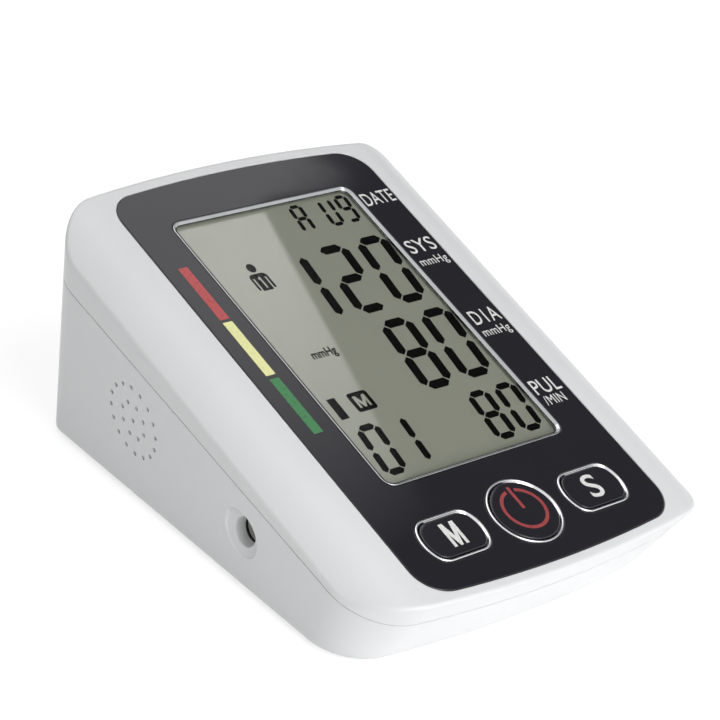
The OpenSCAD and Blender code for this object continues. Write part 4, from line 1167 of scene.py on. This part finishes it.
class MONITOR_OT_inner_pieces(bpy.types.Operator):
    """Gives the frame's own inner pieces their finishes"""
    bl_idname = "monitor.inner_pieces"
    bl_label = "Inner pieces"

    def execute(self, context):
        for finish, nodes in NODES_WITH.items():
            for node in nodes:
                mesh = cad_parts[node].data
                mesh.materials.clear()
                mesh.materials.append(MATERIALS[finish])
        return {"FINISHED"}


# Stage

SKY = 0.37
CEILING = 0.1
TENT = 1.0
LIT_WALL = 1.25
LIT_TOP = 1.3
TABLE_GLOW = 0.58
# Two places on the panel (x, t) between which the edge of the lit wall is mirrored
BRIGHT_EDGE = ((-0.15, 115.0), (-13.5, 60.7))
BRIGHT_TOP = ((-36.0, 116.0), (30.5, 116.0), (25.0, 129.0))
TOP_INSIDE = (0.0, 122.0)
# Where the lit wall is brightest, and the range of cosines over which a straight edge fades
WALL_CENTRE = (-30, 128)
SHARP = (-0.001, 0.001)
# Softboxes: name, place and aim in metres, side, watts
LAMPS = (("key_softbox", (0.26, -0.66, 0.86), (0, -0.02, 0.02), 0.5, 2.6),
         ("front_softbox", (-0.16, -0.62, 0.24), (0, -0.04, 0.02), 0.4, 1.85),
         ("top_softbox", (0.1, 0.2, 1.1), (0, 0, 0.03), 0.7, 0.45))


def mirror_way(x, t):
    """World direction in which the camera looks after the panel mirrors it at (x, t)."""
    across = Vector((x - CAMERA_AT.x, t - CAMERA_AT.y, CAMERA_AT.z))
    return (Matrix.Rotation(TILT, 3, "X") @ across).normalized()


def graded(tree, way, towards, edges, levels):
    """A level that changes as the way looked turns towards a direction; edges are cosines."""
    turn = add_node(tree, "ShaderNodeVectorMath", {0: way, 1: tuple(towards)},
                    operation="DOT_PRODUCT")
    return add_node(tree, "ShaderNodeMapRange",
                    {"Value": turn.outputs["Value"], "From Min": edges[0], "From Max": edges[1],
                     "To Min": levels[0], "To Max": levels[1]})


class MONITOR_OT_studio(bpy.types.Operator):
    """White sweep, lamps and the camera at the photograph's angle"""
    bl_idname = "monitor.studio"
    bl_label = "Studio"

    def execute(self, context):
        self.floor()
        self.sky(context)
        self.lamps()
        self.camera(context)
        context.scene.view_settings.view_transform = "Standard"
        return {"FINISHED"}

    @staticmethod
    def floor():
        bm = bmesh.new()
        bmesh.ops.create_grid(bm, x_segments=1, y_segments=1, size=3.0)
        obj = new_object("table_top", bm, Matrix.Identity(4))
        material, tree, _ = start_material("white_table")
        cloth = add_node(tree, "ShaderNodeBsdfDiffuse", {"Color": linear("F2F2F2")})
        path = add_node(tree, "ShaderNodeLightPath").outputs
        seen = path["Is Camera Ray"]
        for kind in ("Is Glossy Ray", "Is Transmission Ray"):
            seen = add_node(tree, "ShaderNodeMath", {0: seen, 1: path[kind]}, operation="MAXIMUM")
        lift = add_node(tree, "ShaderNodeMath", {0: seen, 1: TABLE_GLOW}, operation="MULTIPLY")
        glow = add_node(tree, "ShaderNodeEmission", {"Color": linear("FFFFFF"), "Strength": lift})
        both = add_node(tree, "ShaderNodeAddShader", {0: cloth, 1: glow})
        add_node(tree, "ShaderNodeOutputMaterial", {"Surface": both})
        obj.data.materials.append(material)

    @staticmethod
    def sky(context):
        world = bpy.data.worlds.new("studio")
        context.scene.world = world
        world.use_nodes = True
        tree = world.node_tree
        tree.nodes.clear()
        path = add_node(tree, "ShaderNodeLightPath").outputs
        way = add_node(tree, "ShaderNodeTexCoord").outputs["Generated"]
        # mirror-like finishes see a white light tent, with a black flag where the panel looks
        dim = graded(tree, way, mirror_way(0, 60), (0.78, 0.92), (TENT, CEILING))
        # and a lit wall panel whose straight edge crosses the display
        first, second = (mirror_way(*p) for p in BRIGHT_EDGE)
        lit = graded(tree, way, second.cross(first).normalized(), SHARP, (0.0, 1.0))
        fade = graded(tree, way, mirror_way(*WALL_CENTRE), (0.986, 0.9985), (0.0, LIT_WALL))
        card = add_node(tree, "ShaderNodeMath", {0: lit, 1: fade}, operation="MULTIPLY")
        # its upper part reaches further, over the strip of the panel above the display
        above, right, below = (mirror_way(*q) for q in BRIGHT_TOP)
        halves = []
        for edge, brightest in ((right.cross(above), LIT_TOP), (below.cross(right), 1.0)):
            edge = edge if edge.dot(mirror_way(*TOP_INSIDE)) > 0 else -edge
            halves.append(graded(tree, way, edge.normalized(), SHARP, (0.0, brightest)))
        upper = add_node(tree, "ShaderNodeMath", dict(enumerate(halves)), operation="MULTIPLY")
        card = add_node(tree, "ShaderNodeMath", {0: card, 1: upper}, operation="MAXIMUM")
        gloss = add_node(tree, "ShaderNodeMath", {0: dim, 1: card}, operation="ADD")
        mirrored = add_node(
            tree, "ShaderNodeMath", {0: path["Is Glossy Ray"], 1: path["Is Transmission Ray"]},
            operation="MAXIMUM")
        unseen = add_node(tree, "ShaderNodeMix", {"Factor": mirrored, "A": SKY, "B": gloss},
                          data_type="FLOAT")
        level = add_node(tree, "ShaderNodeMix",
                         {"Factor": path["Is Camera Ray"], "A": unseen, "B": 1.0},
                         data_type="FLOAT")
        sky = add_node(tree, "ShaderNodeBackground",
                       {"Color": linear("FFFFFF"), "Strength": level})
        add_node(tree, "ShaderNodeOutputWorld", {"Surface": sky})

    @staticmethod
    def lamps():
        for name, at, aim, size, power in LAMPS:
            lamp = bpy.data.lights.new(name, "AREA")
            lamp.shape = "SQUARE"
            lamp.size = size
            lamp.energy = power
            obj = bpy.data.objects.new(name, lamp)
            bpy.context.scene.collection.objects.link(obj)
            obj.location = at
            obj.rotation_euler = (Vector(aim) - Vector(at)).to_track_quat("-Z", "Y").to_euler()

    @staticmethod
    def camera(context):
        data = bpy.data.cameras.new("photo_camera")
        data.sensor_width = 36.0
        data.lens = FOCAL_PIXELS / IMAGE_PIXELS * data.sensor_width
        data.clip_start = 0.01
        data.clip_end = 20.0
        obj = bpy.data.objects.new("photo_camera", data)
        context.scene.collection.objects.link(obj)
        turn = TO_WORLD.to_3x3() * 1000
        right, up = turn @ CAMERA_RIGHT.normalized(), turn @ CAMERA_UP.normalized()
        back = right.cross(up).normalized()
        up = back.cross(right)
        axes = Matrix((right, up, back)).transposed().to_4x4()
        obj.matrix_world = Matrix.Translation(TO_WORLD @ CAMERA_AT) @ axes
        context.scene.camera = obj


class MONITOR_PT_panel(bpy.types.Panel):
    """Sidebar list of the monitor's pieces"""
    bl_idname = "MONITOR_PT_panel"
    bl_label = "Blood Pressure Monitor"
    bl_space_type = "VIEW_3D"
    bl_region_type = "UI"
    bl_category = "Monitor"

    def draw(self, context):
        column = self.layout.column()
        for operator in OPERATORS:
            column.operator(operator.bl_idname)
        for group in (context.scene.monitor_sizes, context.scene.monitor_colours):
            for name in group.__annotations__:
                column.prop(group, name)


OPERATORS = (MONITOR_OT_top_cover, MONITOR_OT_bottom_case, MONITOR_OT_front_panel,
             MONITOR_OT_display, MONITOR_OT_buttons, MONITOR_OT_underside,
             MONITOR_OT_inner_pieces, MONITOR_OT_studio)
CLASSES = (MonitorSizes, MonitorColours) + OPERATORS + (MONITOR_PT_panel,)


def register():
    for cls in CLASSES:
        bpy.utils.register_class(cls)
    bpy.types.Scene.monitor_sizes = bpy.props.PointerProperty(type=MonitorSizes)
    bpy.types.Scene.monitor_colours = bpy.props.PointerProperty(type=MonitorColours)


def unregister():
    del bpy.types.Scene.monitor_colours
    del bpy.types.Scene.monitor_sizes
    for cls in reversed(CLASSES):
        bpy.utils.unregister_class(cls)


def main():
    register()
    MATERIALS.update(make_materials())
    bpy.ops.monitor.top_cover()
    bpy.ops.monitor.bottom_case()
    bpy.ops.monitor.front_panel()
    bpy.ops.monitor.display()
    bpy.ops.monitor.buttons()
    bpy.ops.monitor.underside()
    bpy.ops.monitor.inner_pieces()
    bpy.ops.monitor.studio()
    bpy.context.view_layer.update()


if __name__ == "__main__":
    main()
